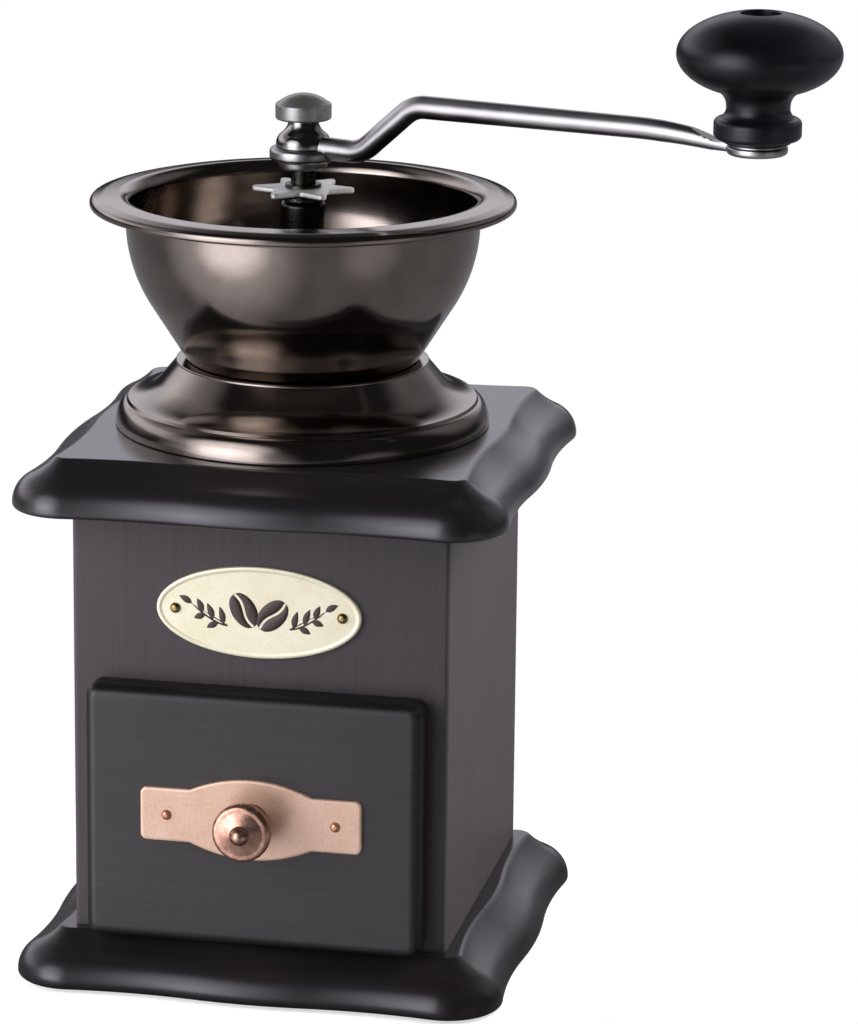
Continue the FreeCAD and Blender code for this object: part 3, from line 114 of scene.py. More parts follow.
def add(tree, kind, inputs=None, stops=(), **settings):
    """Adds one node: settings are its properties, inputs are values or the sockets that feed it.

    stops are the (position, swatch) pairs of a colour ramp, from low to high.
    """
    node = tree.nodes.new(kind)
    for name, value in settings.items():
        setattr(node, name, value)
    for name, value in (inputs or {}).items():
        if isinstance(value, bpy.types.NodeSocket):
            tree.links.new(value, node.inputs[name])
        else:
            node.inputs[name].default_value = value
    for _ in stops[2:]:
        node.color_ramp.elements.new(0.5)
    for index, (position, swatch) in enumerate(stops):
        node.color_ramp.elements[index].position = position
        node.color_ramp.elements[index].color = colour(swatch)
    return node


def new_finish(name, **surface):
    """A material with a Principled surface, its node tree and the piece's own coordinates."""
    material = bpy.data.materials.new(name)
    material.use_nodes = True
    tree = material.node_tree
    tree.nodes.clear()
    shader = add(tree, "ShaderNodeBsdfPrincipled", surface)
    add(tree, "ShaderNodeOutputMaterial", {"Surface": shader.outputs[0]})
    return material, tree, shader, add(tree, "ShaderNodeTexCoord").outputs["Object"]


def dress(tree, shader, tone, noise, rough=None, span=(0.0, 1.0), relief=None, strength=0.0, depth=0.0):
    """Joins a pattern to a surface: a tone, a noise for its roughness and a noise for its relief.

    The roughness runs over the pair rough while its noise runs over span, or stays as it is without
    that pair. The relief is depth mm high, shows as much as strength says, and follows the same noise
    unless it is given its own.
    """
    tree.links.new(tone, shader.inputs["Base Color"])
    if rough:
        gloss = add(tree, "ShaderNodeMapRange", {"Value": noise, "From Min": span[0], "From Max": span[1],
                                                 "To Min": rough[0], "To Max": rough[1]})
        tree.links.new(gloss.outputs["Result"], shader.inputs["Roughness"])
    if strength:
        bump = add(tree, "ShaderNodeBump", {"Height": noise if relief is None else relief,
                                            "Strength": strength, "Distance": depth * MM})
        tree.links.new(bump.outputs[0], shader.inputs["Normal"])


def per_mm(size):
    """Scale of a texture whose features are size millimetres wide, on coordinates in metres."""
    return 1 / (size * MM)


NOISE_SPAN = (0.3, 0.7)
print("helpers ready; most of a noise lies between", NOISE_SPAN)

# %% [markdown]
# ## Paper
# The mill stands on a small sheet of white paper, which catches its shadow. To the camera the paper
# is lifted to the white of the backdrop, so that its edge doesn't show. In reflections it is a middle
# grey, because the underside of a polished bowl would otherwise be as bright as its side. A large
# sheet bent up behind the mill is the usual way, but its bend would show in the metal. The fibres
# are drawn coarser than real ones, 0.8 mm, because finer ones would not show.

# %% Paper
PAPER_SIZE, PAPER_DROP, PAPER_LIFT = 170.0, 0.1, 0.62
PAPER_MIRRORED, PAPER_FIBRE = "#5c5c5c", 0.8
paper_mesh = bpy.data.meshes.new("paper_sweep")
half = PAPER_SIZE / 2
paper_mesh.from_pydata([(x * half * MM, y * half * MM, -PAPER_DROP * MM)
                        for x, y in ((-1, -1), (1, -1), (1, 1), (-1, 1))], [], [(0, 1, 2, 3)])
paper = bpy.data.objects.new("paper_sweep", paper_mesh)
bpy.context.scene.collection.objects.link(paper)
material, tree, shader, place = new_finish("white_paper", **{
    "Roughness": 0.9, "Specular IOR Level": 0.0, "Emission Color": colour("#ffffff")})
fibre = add(tree, "ShaderNodeTexNoise", {"Vector": place, "Scale": per_mm(PAPER_FIBRE),
                                         "Detail": 3.0}).outputs["Fac"]
shade = add(tree, "ShaderNodeValToRGB", {"Fac": fibre}, [(0.0, "#c4c4c4"), (1.0, "#cccccc")]).outputs["Color"]
ray = add(tree, "ShaderNodeLightPath").outputs
mirrored = add(tree, "ShaderNodeMix", {"Factor": ray["Is Glossy Ray"], "A": shade,
                                       "B": colour(PAPER_MIRRORED)}, data_type="RGBA")
tree.links.new(mirrored.outputs["Result"], shader.inputs["Base Color"])
shown = add(tree, "ShaderNodeMath", {0: ray["Is Camera Ray"], 1: ray["Is Transmission Ray"]},
            operation="MAXIMUM")
lift = add(tree, "ShaderNodeMath", {0: shown.outputs[0], 1: PAPER_LIFT}, operation="MULTIPLY")
tree.links.new(lift.outputs[0], shader.inputs["Emission Strength"])
paper_mesh.materials.append(material)
print("paper, mm:", PAPER_SIZE)

# %% [markdown]
# ## The room
# Polished metal shows the whole room around it, so the world draws that room for reflections: a band
# of white backdrop behind the mill, a dim room above it and behind the photographer, a grey table
# below, and soft round patches where lamps and pale walls are mirrored. A photograph of a studio
# could be used instead, but patches can be moved one by one until each highlight sits where it
# should. To the camera the world is plain white, and matt surfaces get an even, dim light from it.

# %% Room
AMBIENT, ROOM, TABLE, BACKDROP = 0.14, 0.03, 0.3, 1.2
MIRROR_TINT = "#f2f2fd"
BAND_AZIMUTH = 225
BAND_SIDE, BAND_HEAD, BAND_FOOT, TABLE_EDGE = (0.2, 0.8), (0.64, 0.36), (0.1, 0.22), (-0.06, -0.2)
# Azimuth, elevation and spread in degrees, then strength. In turn: the left lamp, the halo round it
# and its upper half, a pale wall on the left, one behind, the right lamp and the far backdrop.
PATCHES = ((-35, -5, 30, 2.8), (-38, -12, 54, 0.9), (-36, 20, 32, 3.2), (-110, 28, 35, 0.5),
           (135, 28, 30, 0.3), (57, -12, 24, 0.3), (164, 8, 22, 0.17))
world = bpy.data.worlds.new("studio")
bpy.context.scene.world = world
world.use_nodes = True
tree = world.node_tree
tree.nodes.clear()
way = add(tree, "ShaderNodeTexCoord").outputs["Generated"]
height = add(tree, "ShaderNodeSeparateXYZ", {"Vector": way}).outputs["Z"]
behind = add(tree, "ShaderNodeVectorMath", {0: way, 1: tuple(towards(np.radians(BAND_AZIMUTH), 0.0))},
             operation="DOT_PRODUCT").outputs["Value"]
wide, low, above, under = [
    add(tree, "ShaderNodeMapRange", {"Value": value, "From Min": start, "From Max": end},
        interpolation_type="SMOOTHSTEP").outputs["Result"]
    for value, (start, end) in ((behind, BAND_SIDE), (height, BAND_HEAD), (height, BAND_FOOT),
                                (height, TABLE_EDGE))]
white = add(tree, "ShaderNodeMath", {0: wide, 1: low}, operation="MULTIPLY").outputs[0]
white = add(tree, "ShaderNodeMath", {0: white, 1: above}, operation="MULTIPLY").outputs[0]
room = add(tree, "ShaderNodeMapRange", {"Value": white, "To Min": ROOM, "To Max": BACKDROP}).outputs["Result"]
room = add(tree, "ShaderNodeMix", {"Factor": under, "A": room, "B": TABLE}).outputs["Result"]


def glow(level, azimuth, elevation, spread, strength):
    """Adds a soft round patch of light to a level: strongest in its middle, gone spread degrees away."""
    aim = tuple(towards(*np.radians([azimuth, elevation])))
    near = add(tree, "ShaderNodeVectorMath", {0: way, 1: aim}, operation="DOT_PRODUCT").outputs["Value"]
    patch = add(tree, "ShaderNodeMapRange", {"Value": near, "From Min": np.cos(np.radians(spread)),
                                             "To Max": strength}, interpolation_type="SMOOTHSTEP")
    return add(tree, "ShaderNodeMath", {0: level, 1: patch.outputs["Result"]}).outputs[0]


for patch in PATCHES:
    room = glow(room, *patch)
ray = add(tree, "ShaderNodeLightPath").outputs
seen = add(tree, "ShaderNodeMath", {0: ray["Is Camera Ray"], 1: ray["Is Transmission Ray"]},
           operation="MAXIMUM").outputs[0]
lit = add(tree, "ShaderNodeMix", {"Factor": ray["Is Glossy Ray"], "A": AMBIENT, "B": room}).outputs["Result"]
strength = add(tree, "ShaderNodeMix", {"Factor": seen, "A": lit, "B": 1.0}).outputs["Result"]
tint = add(tree, "ShaderNodeMix", {"Factor": ray["Is Glossy Ray"], "A": colour("#ffffff"),
                                   "B": colour(MIRROR_TINT)}, data_type="RGBA").outputs["Result"]
sky = add(tree, "ShaderNodeBackground", {"Color": tint, "Strength": strength})
add(tree, "ShaderNodeOutputWorld", {"Surface": sky.outputs[0]})
print("patches of light in the room:", len(PATCHES))

# %% [markdown]
# ## Lamps
# One soft lamp stands left of the lens, a stronger one on the right and a weak one behind. A ring of
# lamps would be brighter but would flatten the mouldings. The lamps only give light: the patches of
# the room stand for them in reflections, where a bare rectangle would show its corners.


# %% Lamps
def softbox(name, azimuth, elevation, distance, width, height, brightness):
    """A rectangular lamp aimed at the mill; brightness is what a mirror would show, 1 being white."""
    lamp = bpy.data.lights.new(name, "AREA")
    lamp.shape = "RECTANGLE"
    lamp.size, lamp.size_y = width * MM, height * MM
    lamp.energy = brightness * np.pi * lamp.size * lamp.size_y
    azimuth, elevation = np.radians([azimuth, elevation])
    back = towards(azimuth, elevation)
    right = np.array([np.cos(azimuth), np.sin(azimuth), 0.0])
    holder = bpy.data.objects.new(name, lamp)
    bpy.context.scene.collection.objects.link(holder)
    holder.matrix_world = aimed(TARGET + back * distance, back, right)
    holder.visible_camera = holder.visible_glossy = False


softbox("lamp_left", azimuth=-56, elevation=10, distance=340, width=280, height=330, brightness=5.5)
softbox("lamp_right", azimuth=96, elevation=30, distance=400, width=330, height=300, brightness=7.2)
softbox("lamp_back", azimuth=200, elevation=45, distance=1200, width=1000, height=900, brightness=1.2)

# %% [markdown]
# ## Stained beech
# The box is beech with a dark espresso stain under a satin lacquer. The stain hides most of the
# figure, so what is left for the eye is a faint darker streak along the boards, the short flecks of
# beech, and a soft sheen that pales where a face turns away. Streaks are noise stretched along the
# grain; a wave texture would draw rings, which this stain hides. The lacquer is a clear coat, thickest
# on the moulded plates. The colour of the drawer front darkens to almost black over its rounded
# border: this is painted shade, for rounded edges that turn away from the lamps.

# %% Stained beech
PLATE_STAIN, DRAWER_STAIN = ("#151113", "#1a1618", "#201b1d"), ("#2b2628", "#312d2e", "#373233")
# The last colour, almost black, is painted shade for the rounded border of the drawer front.
PANEL_STAIN, BORDER_SHADE_COLOUR = ("#433e41", "#494447", "#4f494c"), "#0c0a0b"
STREAK, FLECK, CLOUD, ALONG_GRAIN, STAIN_STOPS = 1.1, 0.5, 35.0, 0.035, (0.3, 0.5, 0.7)
# Painted shade on the drawer's border: where it starts and where it is full, in mm from the outline of the
# front (negative inside it), and how far it darkens.
BORDER_FROM, BORDER_TO, BORDER_SHADE_MIX = -2.2, -0.8, 0.9
DRAWER_WIDE, DRAWER_HIGH, DRAWER_MID = 41.2, 31.6, 45.0


def paint_border_shade(tree, place, tone, half_wide, half_high, up):
    """Paints shade on a tone over the rounded border of a front board, whose middle is up mm above the foot.

    A point's distance past the edge is the larger of |x| - half width and |z - up| - half height.
    """
    apart = add(tree, "ShaderNodeVectorMath", {0: place, 1: (0.0, 0.0, up * MM)},
                operation="SUBTRACT").outputs[0]
    apart = add(tree, "ShaderNodeVectorMath", {0: apart}, operation="ABSOLUTE").outputs[0]
    past = add(tree, "ShaderNodeVectorMath", {0: apart, 1: (half_wide * MM, 0.0, half_high * MM)},
               operation="SUBTRACT").outputs[0]
    past = add(tree, "ShaderNodeSeparateXYZ", {"Vector": past}).outputs
    past = add(tree, "ShaderNodeMath", {0: past["X"], 1: past["Z"]}, operation="MAXIMUM").outputs[0]
    shade_amount = add(tree, "ShaderNodeMapRange", {"Value": past, "From Min": BORDER_FROM * MM,
                                             "From Max": BORDER_TO * MM, "To Max": BORDER_SHADE_MIX},
                interpolation_type="SMOOTHSTEP").outputs["Result"]
    return add(tree, "ShaderNodeMix", {"Factor": shade_amount, "A": tone, "B": colour(BORDER_SHADE_COLOUR)},
               data_type="RGBA").outputs["Result"]


def stained_beech(name, grain, shades, coat, border=None):
    """Dark stained beech: streaks and finer flecks, drawn out along the grain, and broad clouds."""
    material, tree, shader, place = new_finish(name, **{
        "IOR": 1.5, "Specular IOR Level": 0.25, "Coat Weight": coat, "Coat Roughness": 0.22, "Coat IOR": 1.5})
    stretch = [ALONG_GRAIN if axis == grain else 1.0 for axis in "XYZ"]
    along = add(tree, "ShaderNodeMapping", {"Vector": place, "Scale": stretch}).outputs[0]
    streak = add(tree, "ShaderNodeTexNoise", {"Vector": along, "Scale": per_mm(STREAK), "Detail": 5.0,
                                              "Roughness": 0.6, "Distortion": 0.4}).outputs["Fac"]
    fleck = add(tree, "ShaderNodeTexNoise", {"Vector": along, "Scale": per_mm(FLECK),
                                             "Detail": 2.0}).outputs["Fac"]
    cloud = add(tree, "ShaderNodeTexNoise", {"Vector": place, "Scale": per_mm(CLOUD),
                                             "Detail": 2.0}).outputs["Fac"]
    both = add(tree, "ShaderNodeMix", {"Factor": 0.3, "A": streak, "B": cloud}).outputs["Result"]
    tone = add(tree, "ShaderNodeValToRGB", {"Fac": both}, list(zip(STAIN_STOPS, shades))).outputs["Color"]
    # A front board's border gets painted shade.
    if border:
        tone = paint_border_shade(tree, place, tone, *border)
    dress(tree, shader, tone, fleck, rough=(0.44, 0.58), strength=0.12, depth=0.05)
    return material


beech_plate = stained_beech("stained_beech_plate", "X", PLATE_STAIN, 1.0)
beech_base = stained_beech("stained_beech_base", "X", PLATE_STAIN, 0.85)
beech_drawer = stained_beech("stained_beech_drawer", "X", DRAWER_STAIN, 0.3,
                             (DRAWER_WIDE, DRAWER_HIGH, DRAWER_MID))
beech_upright = stained_beech("stained_beech_panel", "Z", PANEL_STAIN, 0.08)
print("made", beech_plate.name, beech_base.name, beech_drawer.name, beech_upright.name)

# %% [markdown]
# ## Dark nickel
# The hopper, the crank and the bell over its eye are steel with a black-nickel plating. The hopper
# was spun on a lathe, which leaves fine rings round its axis, the bell is polished and the crank is
# rubbed to a satin. Rings depend only on the distance from the axis and on the height, so those two
# numbers are the texture's coordinates. They are drawn coarser than real spinning marks, 0.35 mm,
# because finer ones would not show.

# %% Dark nickel
RING, HAZE = 0.35, 9.0


def dark_nickel(name, shades, roughness, ring_depth):
    """Black-nickel plating: warm grey metal with spinning rings in its roughness and relief."""
    material, tree, shader, place = new_finish(name, Metallic=1.0)
    flat = add(tree, "ShaderNodeVectorMath", {0: place, 1: (1.0, 1.0, 0.0)}, operation="MULTIPLY").outputs[0]
    radius = add(tree, "ShaderNodeVectorMath", {0: flat}, operation="LENGTH").outputs["Value"]
    height = add(tree, "ShaderNodeSeparateXYZ", {"Vector": place}).outputs["Z"]
    spun = add(tree, "ShaderNodeCombineXYZ", {"X": radius, "Z": height}).outputs[0]
    rings = add(tree, "ShaderNodeTexNoise", {"Vector": spun, "Scale": per_mm(RING),
                                             "Detail": 2.0}).outputs["Fac"]
    haze = add(tree, "ShaderNodeTexNoise", {"Vector": place, "Scale": per_mm(HAZE),
                                            "Detail": 4.0}).outputs["Fac"]
    tone = add(tree, "ShaderNodeValToRGB", {"Fac": haze}, list(zip(NOISE_SPAN, shades))).outputs["Color"]
    both = add(tree, "ShaderNodeMix", {"Factor": 0.4, "A": haze, "B": rings}).outputs["Result"]
    dress(tree, shader, tone, both, rough=(roughness * 0.85, roughness * 1.15), span=NOISE_SPAN,
          relief=rings, strength=ring_depth, depth=0.02)
    return material


nickel_spun = dark_nickel("dark_nickel_spun", ("#7d736b", "#8d8379"), 0.14, 0.3)
nickel_polished = dark_nickel("dark_nickel_polished", ("#86827f", "#96928e"), 0.12, 0.1)
nickel_satin = dark_nickel("dark_nickel_satin", ("#a3a09e", "#b3b0ae"), 0.32, 0.05)
print("made", nickel_spun.name, nickel_polished.name, nickel_satin.name)

# %% [markdown]
# ## Sheet metals
# The oval plate is pale brass and the pull plate is copper-plated, both rolled, blanked and
# clear-lacquered: a satin metal with a fine speckle from the rolls. The star wheel is tinned, and the
# cap nut has a satin pewter plating. Lacquer, tin and pewter scatter part of the light as paint does,
# so their metallic value is below 1. The pull's knob was darkened to an antique copper and rubbed
# back, so it is browner in the hollows than on the worn parts.

# %% Sheet metals
ROLLED_PATCH, ROLLED_STOPS = 7.0, (0.32, 0.5, 0.68)


def sheet_metal(name, shades, speckle, roughness, metallic):
    """Rolled sheet: a speckle of the given size in mm between three shades, with the same in relief."""
    material, tree, shader, place = new_finish(name, **{
        "Metallic": metallic, "Coat Weight": 0.25, "Coat Roughness": 0.2})
    grit = add(tree, "ShaderNodeTexNoise", {"Vector": place, "Scale": per_mm(speckle), "Detail": 4.0,
                                            "Roughness": 0.65}).outputs["Fac"]
    patch = add(tree, "ShaderNodeTexNoise", {"Vector": place, "Scale": per_mm(ROLLED_PATCH),
                                             "Detail": 2.0}).outputs["Fac"]
    both = add(tree, "ShaderNodeMix", {"Factor": 0.35, "A": grit, "B": patch}).outputs["Result"]
    tone = add(tree, "ShaderNodeValToRGB", {"Fac": both}, list(zip(ROLLED_STOPS, shades))).outputs["Color"]
    dress(tree, shader, tone, grit, rough=(roughness * 0.8, roughness * 1.2), span=NOISE_SPAN,
          strength=0.25, depth=0.03)
    return material


pale_brass = sheet_metal("pale_brass_sheet", ("#e6dcb8", "#f1e9cb", "#f8f3de"), 0.5, 0.42, 0.35)
brass_pin = sheet_metal("aged_brass_pin", ("#6b5a34", "#8a7648", "#a8945f"), 0.4, 0.3, 1.0)
copper_sheet = sheet_metal("copper_plated_sheet", ("#cfa48a", "#dab59d", "#e5c6b1"), 0.7, 0.4, 0.4)
copper_pin = sheet_metal("copper_pin", ("#a06a4c", "#c08a68", "#d8a684"), 0.4, 0.28, 0.6)
antique_copper = sheet_metal("antique_copper", ("#8e6653", "#b48975", "#d3ab97"), 1.6, 0.24, 0.92)
tinned_steel = sheet_metal("tinned_steel", ("#b4b1ad", "#c6c3bf", "#d6d3cf"), 0.8, 0.4, 0.45)
pewter = sheet_metal("satin_pewter", ("#7c7a77", "#8d8b88", "#9e9c99"), 0.8, 0.35, 0.75)
print("made", pale_brass.name, copper_sheet.name, antique_copper.name, tinned_steel.name, pewter.name)

# %% [markdown]
# ## Steels and iron
# The nuts and washers are ground steel and the screws zinc-plated. The shaft, its post and the hub of
# the star wheel are blackened. The bridges and the housing are plain castings, and the burrs hardened
# iron. All of them are metals that differ in shade, in polish and in how coarse their grain is, so
# they share one recipe. The grain is drawn coarser than real grinding marks, which would not show.


# %% Steels and iron
def worked_metal(name, shades, grain, roughness, strength):
    """A metal with grain of a size in mm: shade, roughness and relief follow the same noise."""
    material, tree, shader, place = new_finish(name, Metallic=1.0)
    noise = add(tree, "ShaderNodeTexNoise", {"Vector": place, "Scale": per_mm(grain), "Detail": 6.0,
                                             "Roughness": 0.6}).outputs["Fac"]
    tone = add(tree, "ShaderNodeValToRGB", {"Fac": noise}, list(zip(NOISE_SPAN, shades))).outputs["Color"]
    dress(tree, shader, tone, noise, rough=(roughness * 0.75, roughness * 1.25), span=NOISE_SPAN,
          strength=strength, depth=0.1)
    return material


ground_steel = worked_metal("ground_steel", ("#8f8d8b", "#b6b4b1"), 0.6, 0.25, 0.06)
zinc_steel = worked_metal("zinc_plated_steel", ("#8d8f92", "#b0b2b4"), 1.5, 0.32, 0.06)
cast_metal = worked_metal("plain_casting", ("#3d3b3a", "#565452"), 0.9, 0.55, 0.4)
blackened_steel = worked_metal("blackened_steel", ("#35322f", "#4b4743"), 0.5, 0.3, 0.15)
burr_iron = worked_metal("hardened_iron", ("#4a4846", "#6a6865"), 0.7, 0.42, 0.25)
print("made", ground_steel.name, zinc_steel.name, cast_metal.name, blackened_steel.name, burr_iron.name)

# %% [markdown]
# ## Lacquer, bare wood, felt and enamel
# The crank's knob is turned wood under black lacquer, satin rather than glossy. The drawer's box is
# bare beech, pale with short brown flecks. A felt pad lies under the base, and the drawing on the
# oval plate is etched and filled with dark enamel. Pictures of such surfaces would do as textures,
# but a noise never repeats, and the same one can set tone, sheen and relief, as brush marks, pores
# and fibres do. The tufts of the felt are drawn coarser than real fibres, so that they show.

# %% Black lacquer
BRUSHED = 6.0
black_lacquer, tree, shader, place = new_finish("black_lacquered_wood", **{
    "IOR": 1.5, "Specular IOR Level": 0.22, "Coat Weight": 0.18, "Coat Roughness": 0.22})
cloud = add(tree, "ShaderNodeTexNoise", {"Vector": place, "Scale": per_mm(BRUSHED),
                                         "Detail": 5.0}).outputs["Fac"]
tone = add(tree, "ShaderNodeValToRGB", {"Fac": cloud}, [(0.3, "#0e0d12"), (0.7, "#16151a")]).outputs["Color"]
dress(tree, shader, tone, cloud, rough=(0.3, 0.46), strength=0.1, depth=0.2)
print("made", black_lacquer.name)

# %% Bare beech
BARE_STREAK, BARE_FLECK, BARE_ALONG = 2.2, 0.5, 0.05
bare_beech, tree, shader, place = new_finish("bare_beech", **{"Specular IOR Level": 0.3})
along = add(tree, "ShaderNodeMapping", {"Vector": place, "Scale": (1.0, BARE_ALONG, 1.0)}).outputs[0]
streak = add(tree, "ShaderNodeTexNoise", {"Vector": along, "Scale": per_mm(BARE_STREAK),
                                          "Detail": 5.0}).outputs["Fac"]
fleck = add(tree, "ShaderNodeTexNoise", {"Vector": along, "Scale": per_mm(BARE_FLECK),
                                         "Detail": 2.0}).outputs["Fac"]
figure = add(tree, "ShaderNodeValToRGB", {"Fac": streak},
             [(0.3, "#b48d60"), (0.55, "#c9a678"), (0.75, "#d4b58a")]).outputs["Color"]
dots = add(tree, "ShaderNodeValToRGB", {"Fac": fleck}, [(0.3, "#b99a78"), (0.45, "#ffffff")]).outputs["Color"]
tone = add(tree, "ShaderNodeMix", {"Factor": 1.0, "A": figure, "B": dots}, data_type="RGBA",
           blend_type="MULTIPLY").outputs["Result"]
dress(tree, shader, tone, fleck, rough=(0.55, 0.75), strength=0.25, depth=0.1)
print("made", bare_beech.name)

# %% Felt
TUFT = 0.7
felt, tree, shader, place = new_finish("pressed_felt", **{"Roughness": 0.95, "Sheen Weight": 0.4})
fuzz = add(tree, "ShaderNodeTexNoise", {"Vector": place, "Scale": per_mm(TUFT), "Detail": 6.0,
                                        "Roughness": 0.75}).outputs["Fac"]
tone = add(tree, "ShaderNodeValToRGB", {"Fac": fuzz}, [(0.3, "#1c1c20"), (0.7, "#34343a")]).outputs["Color"]
dress(tree, shader, tone, fuzz, strength=0.6, depth=0.3)
print("made", felt.name)

# %% Enamel
ENAMEL_CLOUD = 0.6
enamel, tree, shader, place = new_finish("dark_enamel", **{"IOR": 1.5})
cloud = add(tree, "ShaderNodeTexNoise", {"Vector": place, "Scale": per_mm(ENAMEL_CLOUD),
                                         "Detail": 4.0}).outputs["Fac"]
tone = add(tree, "ShaderNodeValToRGB", {"Fac": cloud}, [(0.3, "#2b211c"), (0.7, "#453830")]).outputs["Color"]
dress(tree, shader, tone, cloud, rough=(0.35, 0.6))
print("made", enamel.name)

# %% [markdown]
# ## From a grid of points to a piece
# Every new piece is a grid of points that closes both ways, like a ring doughnut. A shape that ends,
# such as a dome, simply has its last row of points shrunk into one spot. Blender could also spin or
# extrude a curve, but a grid worked out as one array is quick and says exactly where each point is.

# %% Pieces from grids
MERGE, SHARP_ANGLE = 0.002, np.radians(40)


def piece(name, grids, material, slot, body, *nodes):
    """One object from grids of points in mm, riding on a body and standing for the named nodes.

    grid[i, j] is point j of row i; each point is joined to the next one along both ways, with the
    last joined to the first. Points that fall together are merged, which closes seams and poles.
    """
    shape = bmesh.new()
    for grid in grids:
        rows, columns = grid.shape[:2]
        index = np.arange(rows * columns).reshape(rows, columns)
        beside, below = np.roll(index, -1, 1), np.roll(index, -1, 0)
        faces = np.stack([index, beside, np.roll(beside, -1, 0), below], -1).reshape(-1, 4)
        part = bpy.data.meshes.new(name)
        part.from_pydata((grid.reshape(-1, 3) * MM).tolist(), [], faces.tolist())
        shape.from_mesh(part)
        bpy.data.meshes.remove(part)
    bmesh.ops.remove_doubles(shape, verts=shape.verts, dist=MERGE * MM)
    bmesh.ops.dissolve_degenerate(shape, edges=shape.edges, dist=MERGE * MM)
    loose = [edge for edge in shape.edges if not edge.link_faces]
    bmesh.ops.delete(shape, geom=loose, context="EDGES")
    bmesh.ops.recalc_face_normals(shape, faces=shape.faces)
    mesh = bpy.data.meshes.new(name)
    shape.to_mesh(mesh)
    shape.free()
    mesh.shade_smooth()
    mesh.set_sharp_from_angle(angle=SHARP_ANGLE)
    mesh.materials.append(material)
    made = bpy.data.objects.new(name, mesh)
    bpy.context.scene.collection.objects.link(made)
    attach(made, body)
    if nodes:
        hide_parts(*nodes)
    print(f"{name}: {len(mesh.polygons)} faces")
    return made


print("points closer than", MERGE, "mm are merged")

# %% [markdown]
# ## Lines to draw with
# Two lines draw nearly every section of this mill: a run of straight edges with rounded corners, and
# a gentle bulge between two points. Both give plain arrays of points, so they can be stacked. A third
# function turns a section round an axis, as a lathe does.

# %% Rounded corners and bulges
TINY = 1e-9


def rounded(corners, steps=9):
    """Closed line through (x, y, radius) corners, each replaced by an arc.

    A corner is cut back along both edges by radius / tan(half its inner angle). The arc's centre
    lies on the middle line at radius / sin(half), and the arc turns through pi minus the angle.
    """
    corner = np.array(corners, float)
    point, radius = corner[:, :2], corner[:, 2]
    before, after = np.roll(point, 1, 0) - point, np.roll(point, -1, 0) - point
    before /= np.linalg.norm(before, axis=1, keepdims=True)
    after /= np.linalg.norm(after, axis=1, keepdims=True)
    middle = before + after
    middle /= np.maximum(np.linalg.norm(middle, axis=1, keepdims=True), TINY)
    half = np.arccos(np.clip((before * after).sum(1), -1, 1)) / 2
    centre = point + middle * (radius / np.sin(half))[:, None]
    spoke = point + before * (radius / np.tan(half))[:, None] - centre
    sense = np.sign(after[:, 0] * before[:, 1] - after[:, 1] * before[:, 0])
    turn = (sense * (np.pi - 2 * half))[:, None] * np.linspace(0, 1, steps)
    x = spoke[:, :1] * np.cos(turn) - spoke[:, 1:] * np.sin(turn)
    y = spoke[:, :1] * np.sin(turn) + spoke[:, 1:] * np.cos(turn)
    return (np.stack([x, y], -1) + centre[:, None]).reshape(-1, 2)


def bulge(start, end, sag, steps=24):
    """Line from start to end that stands off its chord by 4 sag t (1 - t), to the right of its way."""
    start, end = np.array(start, float), np.array(end, float)
    chord = end - start
    aside = np.array([chord[1], -chord[0]]) / np.hypot(*chord)
    t = np.linspace(0, 1, steps)[:, None]
    return start + chord * t + aside * (4 * sag * t * (1 - t))


def turned(profile, centre=(0.0, 0.0), to_front=False, segments=160):
    """Surface of revolution: a profile point (r, h) goes round as (r cos a, r sin a, h).

    The axis is upright, or with to_front it points to the front, and h is then measured from the
    middle of the mill. centre is the axis's (x, y), or its (x, z) with to_front.
    """
    radius, height = np.asarray(profile, float).T[:, :, None]
    a = np.linspace(0, 2 * np.pi, segments, endpoint=False)
    across, up = radius * np.cos(a) + centre[0], radius * np.sin(a) + centre[1]
    along = height + 0 * a
    return np.stack([across, -along, up] if to_front else [across, up, along], -1)


print("lines ready")

# %% [markdown]
# ## Hopper bowl and skirt
# The bowl is spun from sheet: a cone that bends into an upright wall, and a wide rim that falls a
# little towards a soft lip with a round edge. Its section is drawn once, wall thickness and all, and
# turned. The skirt below it is a second spinning, a cone that flares out above a narrow groove and
# ends in one thick roll on the wood. A few straight facets would give the same outline, but polished
# metal betrays every bend by its reflections, so the bends are arcs that touch.

# %% Bowl
TOP_FACE = 131.0
NECK_TOP = TOP_FACE + 16.0
SHEET = 1.3
BOWL_LEAN, BOWL_BEND = np.radians(32.5), 38.0
BOWL_SIDE, BOWL_BEND_TOP = 43.0, TOP_FACE + 50.4
THROAT, FLOOR_ROUND = 19.0, 2.0
RIM_RADIUS, RIM_FOOT, RIM_EDGE = 51.7, 184.8, 186.8
RIM_LIP, RIM_LIP_TOP, RIM_CREST = 48.6, 187.55, 188.05
RIM_LOW_ROUND, RIM_ROUND, RIM_LIP_ROUND, RIM_BEND = 0.7, 1.2, 6.0, 3.0
UNDER_RIM, UNDER_RIM_ROUND = 184.6, 2.0
outer_corner = BOWL_BEND_TOP - BOWL_BEND * np.tan(BOWL_LEAN / 2)
inner_corner = BOWL_BEND_TOP - (BOWL_BEND - SHEET) * np.tan(BOWL_LEAN / 2)
floor = NECK_TOP + SHEET
inner_side = BOWL_SIDE - SHEET
inner_foot = inner_side - (inner_corner - floor) * np.tan(BOWL_LEAN)
outer_foot = BOWL_SIDE - (outer_corner - NECK_TOP) * np.tan(BOWL_LEAN)
